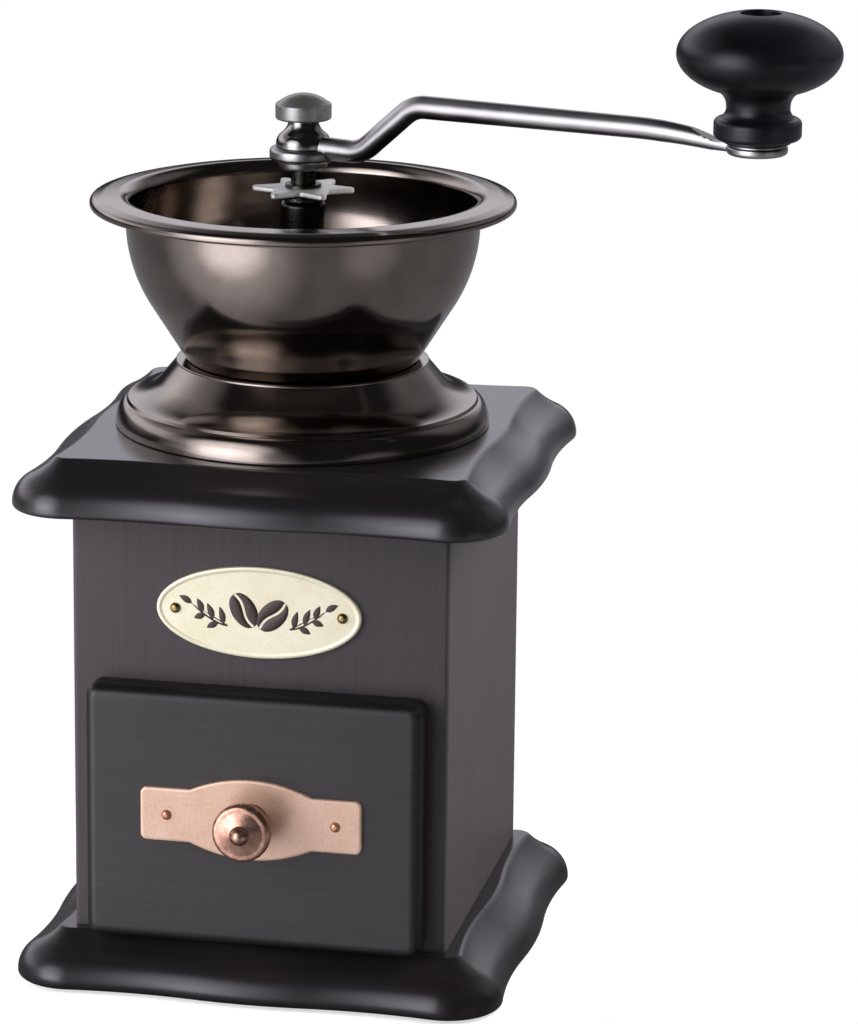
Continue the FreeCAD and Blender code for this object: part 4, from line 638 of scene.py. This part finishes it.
shell = rounded([(outer_foot, NECK_TOP, 0.0), (BOWL_SIDE, outer_corner, BOWL_BEND),
                 (BOWL_SIDE, UNDER_RIM, UNDER_RIM_ROUND), (RIM_RADIUS, RIM_FOOT, RIM_LOW_ROUND),
                 (RIM_RADIUS, RIM_EDGE, RIM_ROUND), (RIM_LIP, RIM_LIP_TOP, RIM_LIP_ROUND),
                 (inner_side, RIM_CREST, RIM_BEND), (inner_side, inner_corner, BOWL_BEND - SHEET),
                 (inner_foot, floor, FLOOR_ROUND), (THROAT, floor, 0.0), (THROAT, NECK_TOP, 0.0)], 24)
piece("spun_bowl", [turned(shell, segments=256)], nickel_spun, "dark_nickel", "housing", "hopper_bowl")
print("foot of the bowl, mm:", round(outer_foot, 2))

# %% Skirt
NECK, NECK_EDGE, NECK_EASE = 30.9, 0.5, 0.3
CONE_FOOT, CONE_LOW, FLARE = 37.75, TOP_FACE + 7.35, 11.5
COVE_FOOT, COVE_LOW = 42.6, TOP_FACE + 6.7
GROOVE = (43.0, TOP_FACE + 6.0)
ROLL, ROLL_WIDE, ROLL_FOOT, ROLL_HIGH = 45.7, 2.8, TOP_FACE + 0.3, 5.7
ROLL_EASE, ROLL_FROM = 0.3, np.radians(80)
INSIDE_LOW = [(43.1, TOP_FACE), (42.9, TOP_FACE + 4.2)]
INSIDE_FOOT, INSIDE_SAG = (41.9, TOP_FACE + 5.5), -1.2
SEAT, SEAT_LOW, SEAT_EASE = outer_foot - 0.2, NECK_TOP - 2.0, 0.1
cove = rounded([(NECK, NECK_TOP - NECK_EDGE, 0.0), (CONE_FOOT, CONE_LOW, FLARE),
                (COVE_FOOT, COVE_LOW, 0.0)], 40)
a = np.linspace(ROLL_FROM, 0, 24)
foot_roll = np.stack([ROLL - ROLL_WIDE + ROLL_WIDE * np.cos(a), ROLL_FOOT + ROLL_HIGH * np.sin(a)], -1)
sole = [(ROLL - ROLL_EASE, TOP_FACE), *INSIDE_LOW]
inside = bulge(INSIDE_FOOT, (SEAT, SEAT_LOW), INSIDE_SAG, 40)
top_edge = rounded([(SEAT, SEAT_LOW, 0.0), (SEAT, NECK_TOP, SEAT_EASE), (NECK, NECK_TOP, NECK_EASE),
                    (NECK, NECK_TOP - NECK_EDGE, 0.0)], 6)
piece("spun_skirt", [turned(np.vstack([cove, [GROOVE], foot_roll, sole, inside, top_edge]), segments=256)],
      nickel_spun, "dark_nickel", "housing", "hopper_skirt")

# %% [markdown]
# ## Boards
# Plates, boards and blanked sheets are all the same idea: an outline seen from above, and a section
# of the edge that says how far in and how high the surface is. Carrying the section round the
# outline gives the whole board, with its top and bottom closing on the middle or on a round hole. A
# bevel modifier could round such edges, but could not give them a moulding.

# %% Board helper
FLAT_RING = 0.4


def board(outline, section, hole=0.0):
    """Rings of a board: each (inset, height) of the section moves the outline in, square to itself.

    The way inwards at a point is square to the line from the point before it to the point after it.
    One more ring just inside each end keeps the shading of the flat faces flat. The first and last
    rings lie on a circle of the hole's radius round the middle of the outline.
    """
    way = np.roll(outline, -1, 0) - np.roll(outline, 1, 0)
    way /= np.linalg.norm(way, axis=1, keepdims=True)
    inward = np.stack([-way[:, 1], way[:, 0]], -1)
    ends = np.array([(FLAT_RING, 0.0)])
    inset, height = np.vstack([section[:1] + ends, section, section[-1:] + ends]).T
    rings = outline + inset[:, None, None] * inward
    middle = (outline.min(0) + outline.max(0)) / 2
    spoke = outline - middle
    rim = middle + spoke / np.linalg.norm(spoke, axis=1, keepdims=True) * hole
    rings = np.concatenate([rim[None], rings, rim[None]])
    height = np.concatenate([height[:1], height, height[-1:]])
    return np.concatenate([rings, np.broadcast_to(height[:, None, None], (*rings.shape[:2], 1))], -1)


def on_front(grid, face):
    """Stands a board drawn flat against the front: its height runs forward from the face."""
    return np.stack([grid[..., 0], -face - grid[..., 2], grid[..., 1]], -1)


def rounded_box(half_width, half_height, corner, up=0.0, steps=9):
    """Outline of a rectangle with round corners, anticlockwise."""
    return rounded([(half_width, up - half_height, corner), (half_width, up + half_height, corner),
                    (-half_width, up + half_height, corner), (-half_width, up - half_height, corner)], steps)


print("board helper ready")

# %% [markdown]
# ## Wavy plates
# Base and top are square plates whose sides swell in the middle and hollow beside it, with a nosed
# ogee moulding run round them. A curve through a few marked points would wobble between them, so the
# plan is made of arcs that touch: on each side a bulge between two hollows of the same radius, then
# the round corners. Each arc is given by its centre, and one side turned four times is the whole plan.

# %% Plan of the plates
PLATE_HALF, WAVE_DEPTH, WAVE_QUARTER = 60.4, 1.45, 27.9
CORNER_NOSE = 13.6
wave = (WAVE_QUARTER ** 2 + WAVE_DEPTH ** 2) / (4 * WAVE_DEPTH)
hollow_x, hollow_y = WAVE_QUARTER, PLATE_HALF - WAVE_DEPTH + wave
reach = wave + CORNER_NOSE
corner_mid = (hollow_x + hollow_y - np.sqrt(2 * reach ** 2 - (hollow_y - hollow_x) ** 2)) / 2
swell = np.arcsin(WAVE_QUARTER / 2 / wave)
meet = np.arctan2(hollow_y - corner_mid, hollow_x - corner_mid)


def arc(centre_x, centre_y, radius, start, end, steps):
    """Points of an arc from one angle to another, without its last point."""
    a = np.linspace(start, end, steps, endpoint=False)
    return np.stack([centre_x + radius * np.cos(a), centre_y + radius * np.sin(a)], -1)


one_side = np.vstack([
    arc(corner_mid, corner_mid, CORNER_NOSE, np.pi / 4, meet, 12),
    arc(hollow_x, hollow_y, wave, meet + np.pi, 1.5 * np.pi - swell, 18),
    arc(0, PLATE_HALF - wave, wave, np.pi / 2 - swell, np.pi / 2 + swell, 18),
    arc(-hollow_x, hollow_y, wave, 1.5 * np.pi + swell, 2 * np.pi - meet, 18),
    arc(-corner_mid, corner_mid, CORNER_NOSE, np.pi - meet, 0.75 * np.pi, 12)])
turns = np.arange(4) * np.pi / 2
spin = np.stack([np.cos(turns), np.sin(turns), -np.sin(turns), np.cos(turns)], -1).reshape(4, 2, 2)
wavy_plan = (one_side @ spin).reshape(-1, 2)
print("plan of the plates:", np.ptp(wavy_plan, 0).round(2), "mm over", len(wavy_plan), "points")

# %% Base and top plates
PLATE_THICK, LOW_ROUND, NOSE_ROUND, MOULDING = 12.4, 1.2, 7.6, 10.4
NOSE_ANGLE, COVE_SAG, EASE = np.radians(64), 0.31, 0.35
quarter = np.linspace(-np.pi / 2, 0, 10)
low = np.stack([LOW_ROUND - LOW_ROUND * np.cos(quarter), LOW_ROUND + LOW_ROUND * np.sin(quarter)], -1)
nose_turn = np.linspace(0, NOSE_ANGLE, 20)[1:]
nose = np.stack([NOSE_ROUND - NOSE_ROUND * np.cos(nose_turn), LOW_ROUND + NOSE_ROUND * np.sin(nose_turn)], -1)
slope = bulge(nose[-1], (MOULDING - EASE, PLATE_THICK - EASE), COVE_SAG, 14)[1:]
flat = np.array([(MOULDING + EASE / 3, PLATE_THICK - EASE / 4), (MOULDING + EASE * 1.5, PLATE_THICK)])
ogee = np.vstack([low, nose, slope, flat])
BASE_FOOT, BODY_TOP, PLATE_HOLE = 0.6, 118.6, 23.5
base_rings, top_rings = board(wavy_plan, ogee), board(wavy_plan, ogee, PLATE_HOLE)
base_rings[..., 2] += BASE_FOOT
top_rings[..., 2] += BODY_TOP
piece("base_board", [base_rings], beech_base, "stained_wood", "housing", "base_plate")
piece("top_board", [top_rings], beech_plate, "stained_wood", "housing", "top_plate")

# %% [markdown]
# ## Drawer front and its fittings
# The drawer front is a thick board with its front edges rounded over. On it sits a copper pull plate
# with two tabs and a swelling round the knob, and an antique copper knob: a waisted neck, a thick
# disc and a ball in the middle. Two small domed pins hold each plate. A bevelled box would do for the
# drawer front, but the plates have curved outlines, so the board helper makes all three.

# %% Drawer front
DRAWER_BACK, DRAWER_FACE, DRAWER_ROUND, DRAWER_CORNER, BACK_EASE = 46.3, 54.3, 2.6, 3.2, 0.4
quarter = np.linspace(0, np.pi / 2, 12)
round_over = np.stack([DRAWER_ROUND - DRAWER_ROUND * np.cos(quarter),
                       DRAWER_FACE - DRAWER_BACK - DRAWER_ROUND + DRAWER_ROUND * np.sin(quarter)], -1)
edge = np.vstack([[(BACK_EASE, 0.0), (0.0, BACK_EASE)], round_over])
front_plan = rounded_box(DRAWER_WIDE, DRAWER_HIGH, DRAWER_CORNER, DRAWER_MID, 14)
piece("drawer_face_board", [on_front(board(front_plan, edge), DRAWER_BACK)], beech_drawer, "stained_wood",
      "drawer", "drawer_front")

# %% Pull plate
TRIM, TRIM_EASE = 0.9, 0.3
PULL_UP, PULL_LONG, PULL_TAB, TAB_ROUND, TAB_STEPS = 45.8, 27.1, 6.6, 1.6, 8
BULGE_LONG, BULGE_HIGH = 15.0, 10.0
trim_edge = np.array([(0.0, 0.0), (0.0, TRIM - TRIM_EASE), (TRIM_EASE * 0.3, TRIM - TRIM_EASE * 0.3),
                      (TRIM_EASE, TRIM)])
tab = rounded([(BULGE_LONG, -PULL_TAB, 0.0), (PULL_LONG, -PULL_TAB, TAB_ROUND),
               (PULL_LONG, PULL_TAB, TAB_ROUND), (BULGE_LONG, PULL_TAB, 0.0)], TAB_STEPS)
tab = tab[TAB_STEPS:-TAB_STEPS]
swelling = bulge((BULGE_LONG, PULL_TAB), (-BULGE_LONG, PULL_TAB), BULGE_HIGH - PULL_TAB, 40)
pull_plan = np.vstack([tab, swelling, -tab, -swelling]) + (0.0, PULL_UP)
piece("pull_sheet", [on_front(board(pull_plan, trim_edge), DRAWER_FACE)], copper_sheet, "copper", "drawer",
      "pull_plate")

# %% Oval plate
FRONT_FACE, OVAL_UP, OVAL_LONG, OVAL_HIGH = 46.0, 95.1, 25.0, 11.25
OVAL_BAND, OVAL_SLOPE, OVAL_SUNK = 0.9, 0.25, 0.12
a = np.linspace(0, 2 * np.pi, 160, endpoint=False)
oval_plan = np.stack([OVAL_LONG * np.cos(a), OVAL_UP + OVAL_HIGH * np.sin(a)], -1)
oval_edge = np.vstack([trim_edge, [(OVAL_BAND, TRIM), (OVAL_BAND + OVAL_SLOPE, TRIM - OVAL_SUNK),
                                   (OVAL_BAND + 2 * OVAL_SLOPE, TRIM - OVAL_SUNK)]])
piece("oval_sheet", [on_front(board(oval_plan, oval_edge), FRONT_FACE)], pale_brass, "pale_brass", "housing",
      "name_plate")

# %% Pins
PIN_SHANK, PIN_HEAD, PIN_RISE, PIN_SWELL, PIN_BITE = 0.7, 1.3, 0.7, 0.28, 4.0
OVAL_PINS, PULL_PINS = 20.4, 20.7


def pins(name, face, up, spread, material, slot, body, node):
    """Two domed pins driven into a front face through a plate."""
    seat = face + TRIM
    dome = bulge((PIN_HEAD, seat), (0.0, seat + PIN_RISE), PIN_SWELL, 10)
    section = np.vstack([[(0.0, face - PIN_BITE), (PIN_SHANK, face - PIN_BITE), (PIN_SHANK, seat)], dome])
    grids = [turned(section, (side * spread, up), True, 32) for side in (1, -1)]
    piece(name, grids, material, slot, body, node)


pins("oval_pins", FRONT_FACE, OVAL_UP, OVAL_PINS, brass_pin, "pale_brass", "housing", "name_plate_pins")
pins("pull_pins", DRAWER_FACE, PULL_UP, PULL_PINS, copper_pin, "copper", "drawer", "pull_plate_pins")

# %% Drawer knob
KNOB_SEAT, KNOB_STEPS = DRAWER_FACE + TRIM, 8
BORE, BORE_END = 1.6, KNOB_SEAT + 8.0
WAIST_FOOT, WAIST_TOP, WAIST_SAG = 4.4, 2.9, -0.7
DISC, DISC_BACK, DISC_FRONT, DISC_ROUND = 7.1, KNOB_SEAT + 7.0, KNOB_SEAT + 10.4, 1.1
STEP, STEP_UP, STEP_ROUND = 5.4, KNOB_SEAT + 10.5, 0.5
BALL, BALL_FOOT, BALL_UP, BALL_EASE = 2.4, KNOB_SEAT + 11.2, KNOB_SEAT + 11.5, 0.4
knob_bore = [(0.0, BORE_END), (BORE, BORE_END), (BORE, KNOB_SEAT)]
waist = bulge((WAIST_FOOT, KNOB_SEAT), (WAIST_TOP, DISC_BACK), WAIST_SAG, 20)
disc = rounded([(WAIST_TOP, DISC_BACK, 0.0), (DISC, DISC_BACK, DISC_ROUND), (DISC, DISC_FRONT, DISC_ROUND),
                (STEP, STEP_UP, STEP_ROUND), (BALL, BALL_FOOT, BALL_EASE), (0.0, BALL_UP, 0.0)], KNOB_STEPS)
disc = disc[:-2 * KNOB_STEPS]
quarter = np.linspace(0, np.pi / 2, 16)
ball = np.stack([BALL * np.cos(quarter), BALL_UP + BALL * np.sin(quarter)], -1)
piece("copper_knob", [turned(np.vstack([knob_bore, waist, disc, ball]), (0.0, PULL_UP), True, 96)],
      antique_copper, "antique_copper", "drawer", "drawer_knob")

# %% [markdown]
# ## Drawing on the oval plate
# A small drawing is etched into the oval plate and filled with enamel: two coffee beans between two
# leafy twigs. It could be painted with a texture, but thin relief keeps its edges crisp from close
# by. A twig and a leaf are one flattened section carried along a line; a bean is two lobes that meet
# at a curved crease.

# %% Beans, twigs and leaves
BEANS = (((-3.6, 0.4), 0.55), ((3.4, -0.5), -0.75))
BEAN_LONG, BEAN_WIDE, BEAN_RISE, CREASE_HALF, CREASE_BEND = 4.7, 3.1, 0.35, 0.28, 0.16
TWIG_START, TWIG_REACH, TWIG_LOW, TWIG_CLIMB, TWIG_BEND, TWIG_HALF = 7.6, 9.0, -3.6, 5.2, 1.6, 0.22
# Where each leaf grows along its twig, from 0 to 1, how far it turns away and how long it is.
LEAVES = ((0.12, 1.15, 4.6), (0.4, 1.0, 4.4), (0.68, 0.95, 3.8), (0.25, -0.75, 3.2), (0.6, -0.6, 3.0),
          (0.97, 0.25, 3.6))
LEAF_HALF, LEAF_LEAN, LEAF_CURL = 0.85, 0.45, 0.05
INK_RISE, INK_SUNK = 0.16, 0.13


def ribbon(path, width, rise):
    """A flattened strip along a path in the plate: half width and rise are given at each point."""
    way = np.gradient(path, axis=0)
    way /= np.linalg.norm(way, axis=1, keepdims=True)
    aside = np.stack([-way[:, 1], way[:, 0]], -1)
    a = np.linspace(0, 2 * np.pi, 12, endpoint=False)
    plan = path[:, None] + aside[:, None] * (width[:, None] * np.cos(a))[..., None]
    height = rise[:, None] * np.sin(a)
    return np.concatenate([plan, height[..., None]], -1)


def bean_lobe(centre, lean, side):
    """Half of a bean: across from an S-shaped crease to the oval edge, domed like a cushion."""
    t = np.linspace(-1, 1, 25)[:, None]
    s = np.concatenate([np.linspace(0, 1, 9), np.linspace(1, 0, 9)[1:-1]])
    over = np.concatenate([np.ones(9), np.zeros(7)])
    crease = CREASE_BEND * BEAN_WIDE * np.sin(np.pi * t)
    edge = BEAN_WIDE * np.sqrt(np.maximum(1 - t ** 2, 0)) * side
    start = np.clip(crease + side * CREASE_HALF, -np.abs(edge), np.abs(edge))
    across = start + (edge - start) * s
    height = BEAN_RISE * over * np.sqrt(np.maximum(1 - t ** 2, 0)) * (4 * s * (1 - s)) ** 0.5
    along = BEAN_LONG * t + 0 * s
    x = centre[0] + across * np.cos(lean) - along * np.sin(lean)
    y = centre[1] + across * np.sin(lean) + along * np.cos(lean)
    return np.stack([x, y, height], -1)


def twig_line(t, side):
    """Points of a twig: t goes from its root at 0 to its tip at 1, and the height follows a power of t."""
    return np.stack([side * (TWIG_START + TWIG_REACH * t), TWIG_LOW + TWIG_CLIMB * t ** TWIG_BEND], -1)


grids = []
for centre, lean in BEANS:
    grids += [bean_lobe(centre, lean, side) for side in (1, -1)]
t = np.linspace(0, 1, 30)
for side in (1, -1):
    grids.append(ribbon(twig_line(t, side), TWIG_HALF * (1 - t ** 8), INK_RISE * (1 - t ** 8)))
    for root, turn, long in LEAVES:
        u = t * long
        angle = LEAF_LEAN + turn - LEAF_CURL * u
        leaf = twig_line(root, side) + np.stack([side * u * np.cos(angle), u * np.sin(angle)], -1)
        half_width = LEAF_HALF * np.sin(np.pi * t) ** 0.8 * (1.15 - 0.4 * t)
        grids.append(ribbon(leaf, half_width, INK_RISE * np.sin(np.pi * t)))
face = FRONT_FACE + TRIM - INK_SUNK
drawing = [on_front(grid + (0.0, OVAL_UP, 0.0), face) for grid in grids]
piece("oval_drawing", drawing, enamel, "pale_brass", "housing")

# %% [markdown]
# ## Bearing post and star wheel
# A blackened post stands in the bowl and carries the shaft. On top of it sits a star-shaped nut that
# is turned with a finger to set the grind: a tinned plate on a blackened hub. The star is blanked
# from sheet, so its points are rounded and its edges eased. An extruded star with a bevel would round
# points and hollows alike; here each has its own radius.

# %% Post
POST_FOOT, POST_TOP, SHAFT = 148.3, 186.0, 3.05
SPIGOT, SPIGOT_TOP, POST = 4.6, POST_FOOT + 3.0, 5.5
post = rounded([(SHAFT, POST_FOOT, 0.0), (SPIGOT, POST_FOOT, 0.2), (SPIGOT, SPIGOT_TOP, 0.1),
                (POST, SPIGOT_TOP, 0.3), (POST, POST_TOP, 1.2), (SHAFT, POST_TOP, 0.3)], 8)
piece("turned_post", [turned(post, segments=96)], blackened_steel, "dark_nickel", "housing", "bearing_post")

# %% Star wheel
WHEEL_FOOT, PLATE_LIFT, PLATE_TOP, HUB, HUB_TOP = 187.3, 0.8, 2.1, 4.4, 3.0
STAR_POINTS, STAR_TURN, STAR_REACH, STAR_HOLLOW = 6, np.radians(6), 14.0, 7.0
POINT_ROUND, HOLLOW_ROUND, LOW_EASE, TOP_EASE = 1.1, 1.6, 0.25, 0.3
corner = np.arange(2 * STAR_POINTS)
pointed = corner % 2 == 0
a = STAR_TURN + corner * np.pi / STAR_POINTS
reach = np.where(pointed, STAR_REACH, STAR_HOLLOW)
star_plan = rounded(np.stack([reach * np.cos(a), reach * np.sin(a),
                              np.where(pointed, POINT_ROUND, HOLLOW_ROUND)], -1), 8)
star_edge = np.array([(LOW_EASE, PLATE_LIFT), (0.0, PLATE_LIFT + LOW_EASE), (0.0, PLATE_TOP - TOP_EASE),
                      (TOP_EASE / 3, PLATE_TOP - TOP_EASE / 3), (TOP_EASE, PLATE_TOP)])
star = board(star_plan, star_edge, HUB) + (0.0, 0.0, WHEEL_FOOT)
hub = rounded([(SHAFT, WHEEL_FOOT, 0.1), (HUB, WHEEL_FOOT, 0.2), (HUB, WHEEL_FOOT + HUB_TOP, 0.4),
               (SHAFT, WHEEL_FOOT + HUB_TOP, 0.2)], 6)
piece("star_wheel", [star], tinned_steel, "pewter", "adjusting_wheel", "adjusting_wheel")
piece("star_hub", [turned(hub, segments=72)], blackened_steel, "pewter", "adjusting_wheel")

# %% [markdown]
# ## Crank
# The crank is forged and rubbed to a satin: an eye on the shaft, a rod that rises in a double bend
# and runs out with a slight bow while it thins, and a small eye under the knob, where the rod is
# hammered flat. A curve with a bevel would stay round to its end, so a circle is carried along the
# line instead, with its radius at each point. A bell-shaped washer and a domed nut hold it down.

# %% Crank arm
CRANK_ANGLE, CRANK_REACH = np.radians(-22), 124.8
crank_way = np.array([np.cos(CRANK_ANGLE), np.sin(CRANK_ANGLE)])
knob_axis = crank_way * CRANK_REACH
EYE_FOOT, EYE_TOP, EYE_BOSS = 195.9, 199.2, 194.1
KNOB_EYE_FOOT, KNOB_EYE_TOP, KNOB_EYE = 210.8, 212.9, 7.0
ROD_LOW, ROD_HIGH, ROD_BOW = 199.4, 212.2, 213.8
ROD_START, BOW_REACH, ROD_END = 40.0, 100.0, 121.3
FLAT_FROM, FLAT_TAPER = 114.2, 0.35
ROD_ROOT, BEND_LOW, BEND_HIGH, BEND_ROUND, BOW_ROUND = 4.0, 16.8, 31.8, 9.0, 150.0
ROD_THICK = [2.75, 2.5, 1.7]
EYE, EYE_ROUND, BOSS, PIN_BORE = 8.2, 1.1, 5.8, 2.4


def rod(line, radius, sides=32):
    """A circle carried along a line of (reach, height) in the crank's upright plane, closed at its ends.

    Towards the knob it is forged flat: two slopes bring it between the faces of the knob's eye.
    """
    way = np.gradient(line, axis=0)
    way /= np.linalg.norm(way, axis=1, keepdims=True)
    square = np.stack([-way[:, 1], way[:, 0]], -1)
    radius = np.concatenate([[0], radius, [0]])
    line, square = (np.concatenate([v[:1], v, v[-1:]]) for v in (line, square))
    a = np.linspace(0, 2 * np.pi, sides, endpoint=False)
    reach = line[:, :1] + square[:, :1] * radius[:, None] * np.cos(a)
    height = line[:, 1:] + square[:, 1:] * radius[:, None] * np.cos(a)
    aside = radius[:, None] * np.sin(a)
    ease = FLAT_TAPER * np.maximum(FLAT_FROM - reach, 0)
    height = np.clip(height, np.minimum(KNOB_EYE_FOOT - ease, height.max()), KNOB_EYE_TOP + ease)
    return np.stack([reach * crank_way[0] - aside * crank_way[1],
                     reach * crank_way[1] + aside * crank_way[0], height], -1)


bent = rounded([(ROD_ROOT, ROD_LOW, 0.0), (BEND_LOW, ROD_LOW, BEND_ROUND), (BEND_HIGH, ROD_HIGH, BEND_ROUND),
                (BOW_REACH, ROD_BOW, BOW_ROUND), (ROD_END, (KNOB_EYE_FOOT + KNOB_EYE_TOP) / 2, 0.0)], 24)
run = np.concatenate([[0], np.cumsum(np.linalg.norm(np.diff(bent, axis=0), axis=1))])
steps = np.linspace(0, run[-1], 240)
line = np.stack([np.interp(steps, run, bent[:, 0]), np.interp(steps, run, bent[:, 1])], -1)
thickness = np.interp(line[:, 0], [ROD_START, BOW_REACH, ROD_END], ROD_THICK)
eye = rounded([(SHAFT, EYE_BOSS, 0.2), (BOSS, EYE_BOSS, 0.5), (BOSS, EYE_FOOT, 0.3),
               (EYE, EYE_FOOT, EYE_ROUND), (EYE, EYE_TOP, EYE_ROUND), (SHAFT, EYE_TOP, 0.2)], 10)
knob_eye = rounded([(PIN_BORE, KNOB_EYE_FOOT, 0.1), (KNOB_EYE, KNOB_EYE_FOOT, 1.0),
                    (KNOB_EYE, KNOB_EYE_TOP, 0.6), (PIN_BORE, KNOB_EYE_TOP, 0.1)], 10)
crank_grids = [turned(eye, segments=96), rod(line, thickness), turned(knob_eye, knob_axis, segments=72)]
piece("forged_crank", crank_grids, nickel_satin, "dark_nickel", "crank", "crank_arm")

# %% Bell washer and cap nut
STUD, BELL_TOP = 2.1, 205.95
BELL, BELL_ROUND, BELL_LIP, BELL_EASE, BELL_TURN = 6.65, 3.2, 0.8, 0.2, np.radians(54)
BELL_WAIST, BELL_WAIST_UP, BELL_NECK, BELL_SAG = 5.33, EYE_TOP + 3.4, 3.6, -0.45
CAP, CAP_HIGH, CAP_LOW_ROUND, CAP_ROUND, CAP_SLOPE, CAP_STEPS = 6.8, BELL_TOP + 4.0, 0.6, 0.7, 0.4, 8
DOME, DOME_FOOT, DOME_TOP, DOME_SWELL = 6.1, BELL_TOP + 4.1, BELL_TOP + 6.3, 0.55
STUD_TOP = BELL_TOP + 4.2
belly = arc(BELL - BELL_ROUND, EYE_TOP + BELL_LIP, BELL_ROUND, 0.0, BELL_TURN, 16)
neck = bulge((BELL_WAIST, BELL_WAIST_UP), (BELL_NECK, BELL_TOP), BELL_SAG, 20)
foot = [(STUD, EYE_TOP), (BELL - BELL_EASE, EYE_TOP), (BELL, EYE_TOP + BELL_EASE)]
piece("bell_collar", [turned(np.vstack([foot, belly, neck, [(STUD, BELL_TOP)]]), segments=96)],
      nickel_polished, "dark_nickel", "crank", "bell_washer")
cap_rim = rounded([(STUD, BELL_TOP, 0.0), (CAP, BELL_TOP, CAP_LOW_ROUND), (CAP, CAP_HIGH, CAP_ROUND),
                   (0.0, CAP_HIGH + CAP_SLOPE, 0.0)], CAP_STEPS)[:-CAP_STEPS]
cap_dome = bulge((DOME, DOME_FOOT), (0.0, DOME_TOP), DOME_SWELL, 20)
cap_bore = [(0.0, STUD_TOP), (STUD, STUD_TOP)]
piece("domed_cap", [turned(np.vstack([cap_rim, cap_dome, cap_bore]), segments=96)], pewter, "pewter", "crank",
      "cap_nut")

# %% [markdown]
# ## Crank knob
# The knob is turned from wood: a thick foot ring, a narrow neck and a wide mushroom head with a hole
# in its top, where the pin that it spins on can be reached. The head is an ellipse, and a round
# hollow leads from the neck into it. A chain of gentle bulges would be quicker to draw, but would
# leave a crease where the head begins.

# %% Knob
KNOB_FOOT, PIN_HOLE, TOP_HOLE = 213.5, 2.45, 4.6
SOLE, SOLE_TOP, FOOT_RING, FOOT_RING_TOP = 7.7, KNOB_FOOT + 0.8, 10.0, KNOB_FOOT + 5.6
WAIST_WIDE, WAIST_UP, WAIST_HOLLOW = 8.6, KNOB_FOOT + 5.7, -0.5
NECK_THIN, NECK_ROUND, NECK_UP, NECK_TURN = 7.3, 3.58, KNOB_FOOT + 8.47, np.radians(72.4)
HEAD, HEAD_HIGH, HEAD_UP, HEAD_FROM, HEAD_TO = 18.8, 9.75, KNOB_FOOT + 20.2, 9.8, 5.2
WELL_MOUTH, WELL_EDGE, WELL_FLOOR = KNOB_FOOT + 29.55, KNOB_FOOT + 29.5, KNOB_FOOT + 20.6
foot_ring = rounded([(PIN_HOLE, KNOB_FOOT, 0.0), (SOLE, KNOB_FOOT, 0.2), (SOLE, SOLE_TOP, 0.1),
                     (FOOT_RING, SOLE_TOP, 1.2), (FOOT_RING, FOOT_RING_TOP, 1.3),
                     (WAIST_WIDE, WAIST_UP, 0.0)], 10)
waist = bulge((WAIST_WIDE, WAIST_UP), (NECK_THIN, NECK_UP), WAIST_HOLLOW, 20)
throat = arc(NECK_THIN + NECK_ROUND, NECK_UP, NECK_ROUND, np.pi, np.pi - NECK_TURN, 16)
a = np.linspace(-np.arccos(HEAD_FROM / HEAD), np.arccos(HEAD_TO / HEAD), 70)
head = np.stack([HEAD * np.cos(a), HEAD_UP + HEAD_HIGH * np.sin(a)], -1)
well = rounded([(HEAD_TO, WELL_MOUTH, 0.0), (TOP_HOLE, WELL_EDGE, 0.3), (TOP_HOLE, WELL_FLOOR, 0.2),
                (PIN_HOLE, WELL_FLOOR, 0.0), (PIN_HOLE, KNOB_FOOT, 0.0)], 8)
knob_section = np.vstack([foot_ring, waist, throat, head, well])
piece("turned_knob", [turned(knob_section, knob_axis, segments=128)], black_lacquer, "black_lacquer",
      "crank_knob", "crank_knob")

# %% [markdown]
# ## Burr spring
# A coil spring round the shaft, between the burr and the bridge, keeps the burr down against the
# thread. It is a circle carried along a helix, which none of the helpers above can make, and half a
# turn lies flat at each end.

# %% Spring
COIL, WIRE, TURNS, SPRING_FOOT, SPRING_TOP = 5.0, 0.5, 6.0, 120.0, 148.3
FLAT_TURN, TRAVEL = 0.5, 0.8
t = np.linspace(0, 1, 300)
spin = 2 * np.pi * TURNS * t
rise = np.clip((t * TURNS - FLAT_TURN) / (TURNS - 2 * FLAT_TURN), 0, 1)
height = SPRING_FOOT + WIRE + (SPRING_TOP - SPRING_FOOT - 2 * WIRE) * rise
thick = np.concatenate([[0], np.full(len(t) - 2, WIRE), [0]])
a = np.linspace(0, 2 * np.pi, 14, endpoint=False)
out = COIL + thick[:, None] * np.cos(a)
coil = np.stack([out * np.cos(spin)[:, None], out * np.sin(spin)[:, None],
                 height[:, None] + thick[:, None] * np.sin(a)], -1)
spring = piece("coil_spring", [coil], ground_steel, "bright_steel", "crank", "burr_spring")
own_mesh(spring)

# %% [markdown]
# ## Finishes of the remaining solids
# The solids that are already the right shape, such as panels, screws, bridges and burrs, stay as
# they are and only change their material. Rebuilding them would not make a visible difference.

# %% Finish the rest
finishes = {
    beech_upright: ["front_panel", "back_panel", "left_panel", "right_panel"],
    bare_beech: ["drawer_left_side", "drawer_right_side", "drawer_back", "drawer_bottom", "top_dowels"],
    felt: ["felt_pad"],
    zinc_steel: ["base_screws", "housing_screws", "bridge_screws", "lower_bridge_screws", "drawer_knob_screw",
                 "knob_washer", "spring_washer"],
    brass_pin: ["lower_bush"],
    cast_metal: ["burr_housing", "bearing_bridge", "lower_bridge"],
    burr_iron: ["outer_burr", "inner_burr"],
    blackened_steel: ["grind_shaft"],
    ground_steel: ["burr_nut", "thrust_washer", "knob_pin"]}
for material, names in finishes.items():
    for name in names:
        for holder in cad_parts[name].material_slots:
            holder.material = material
print("solids finished:", sum(map(len, finishes.values())))
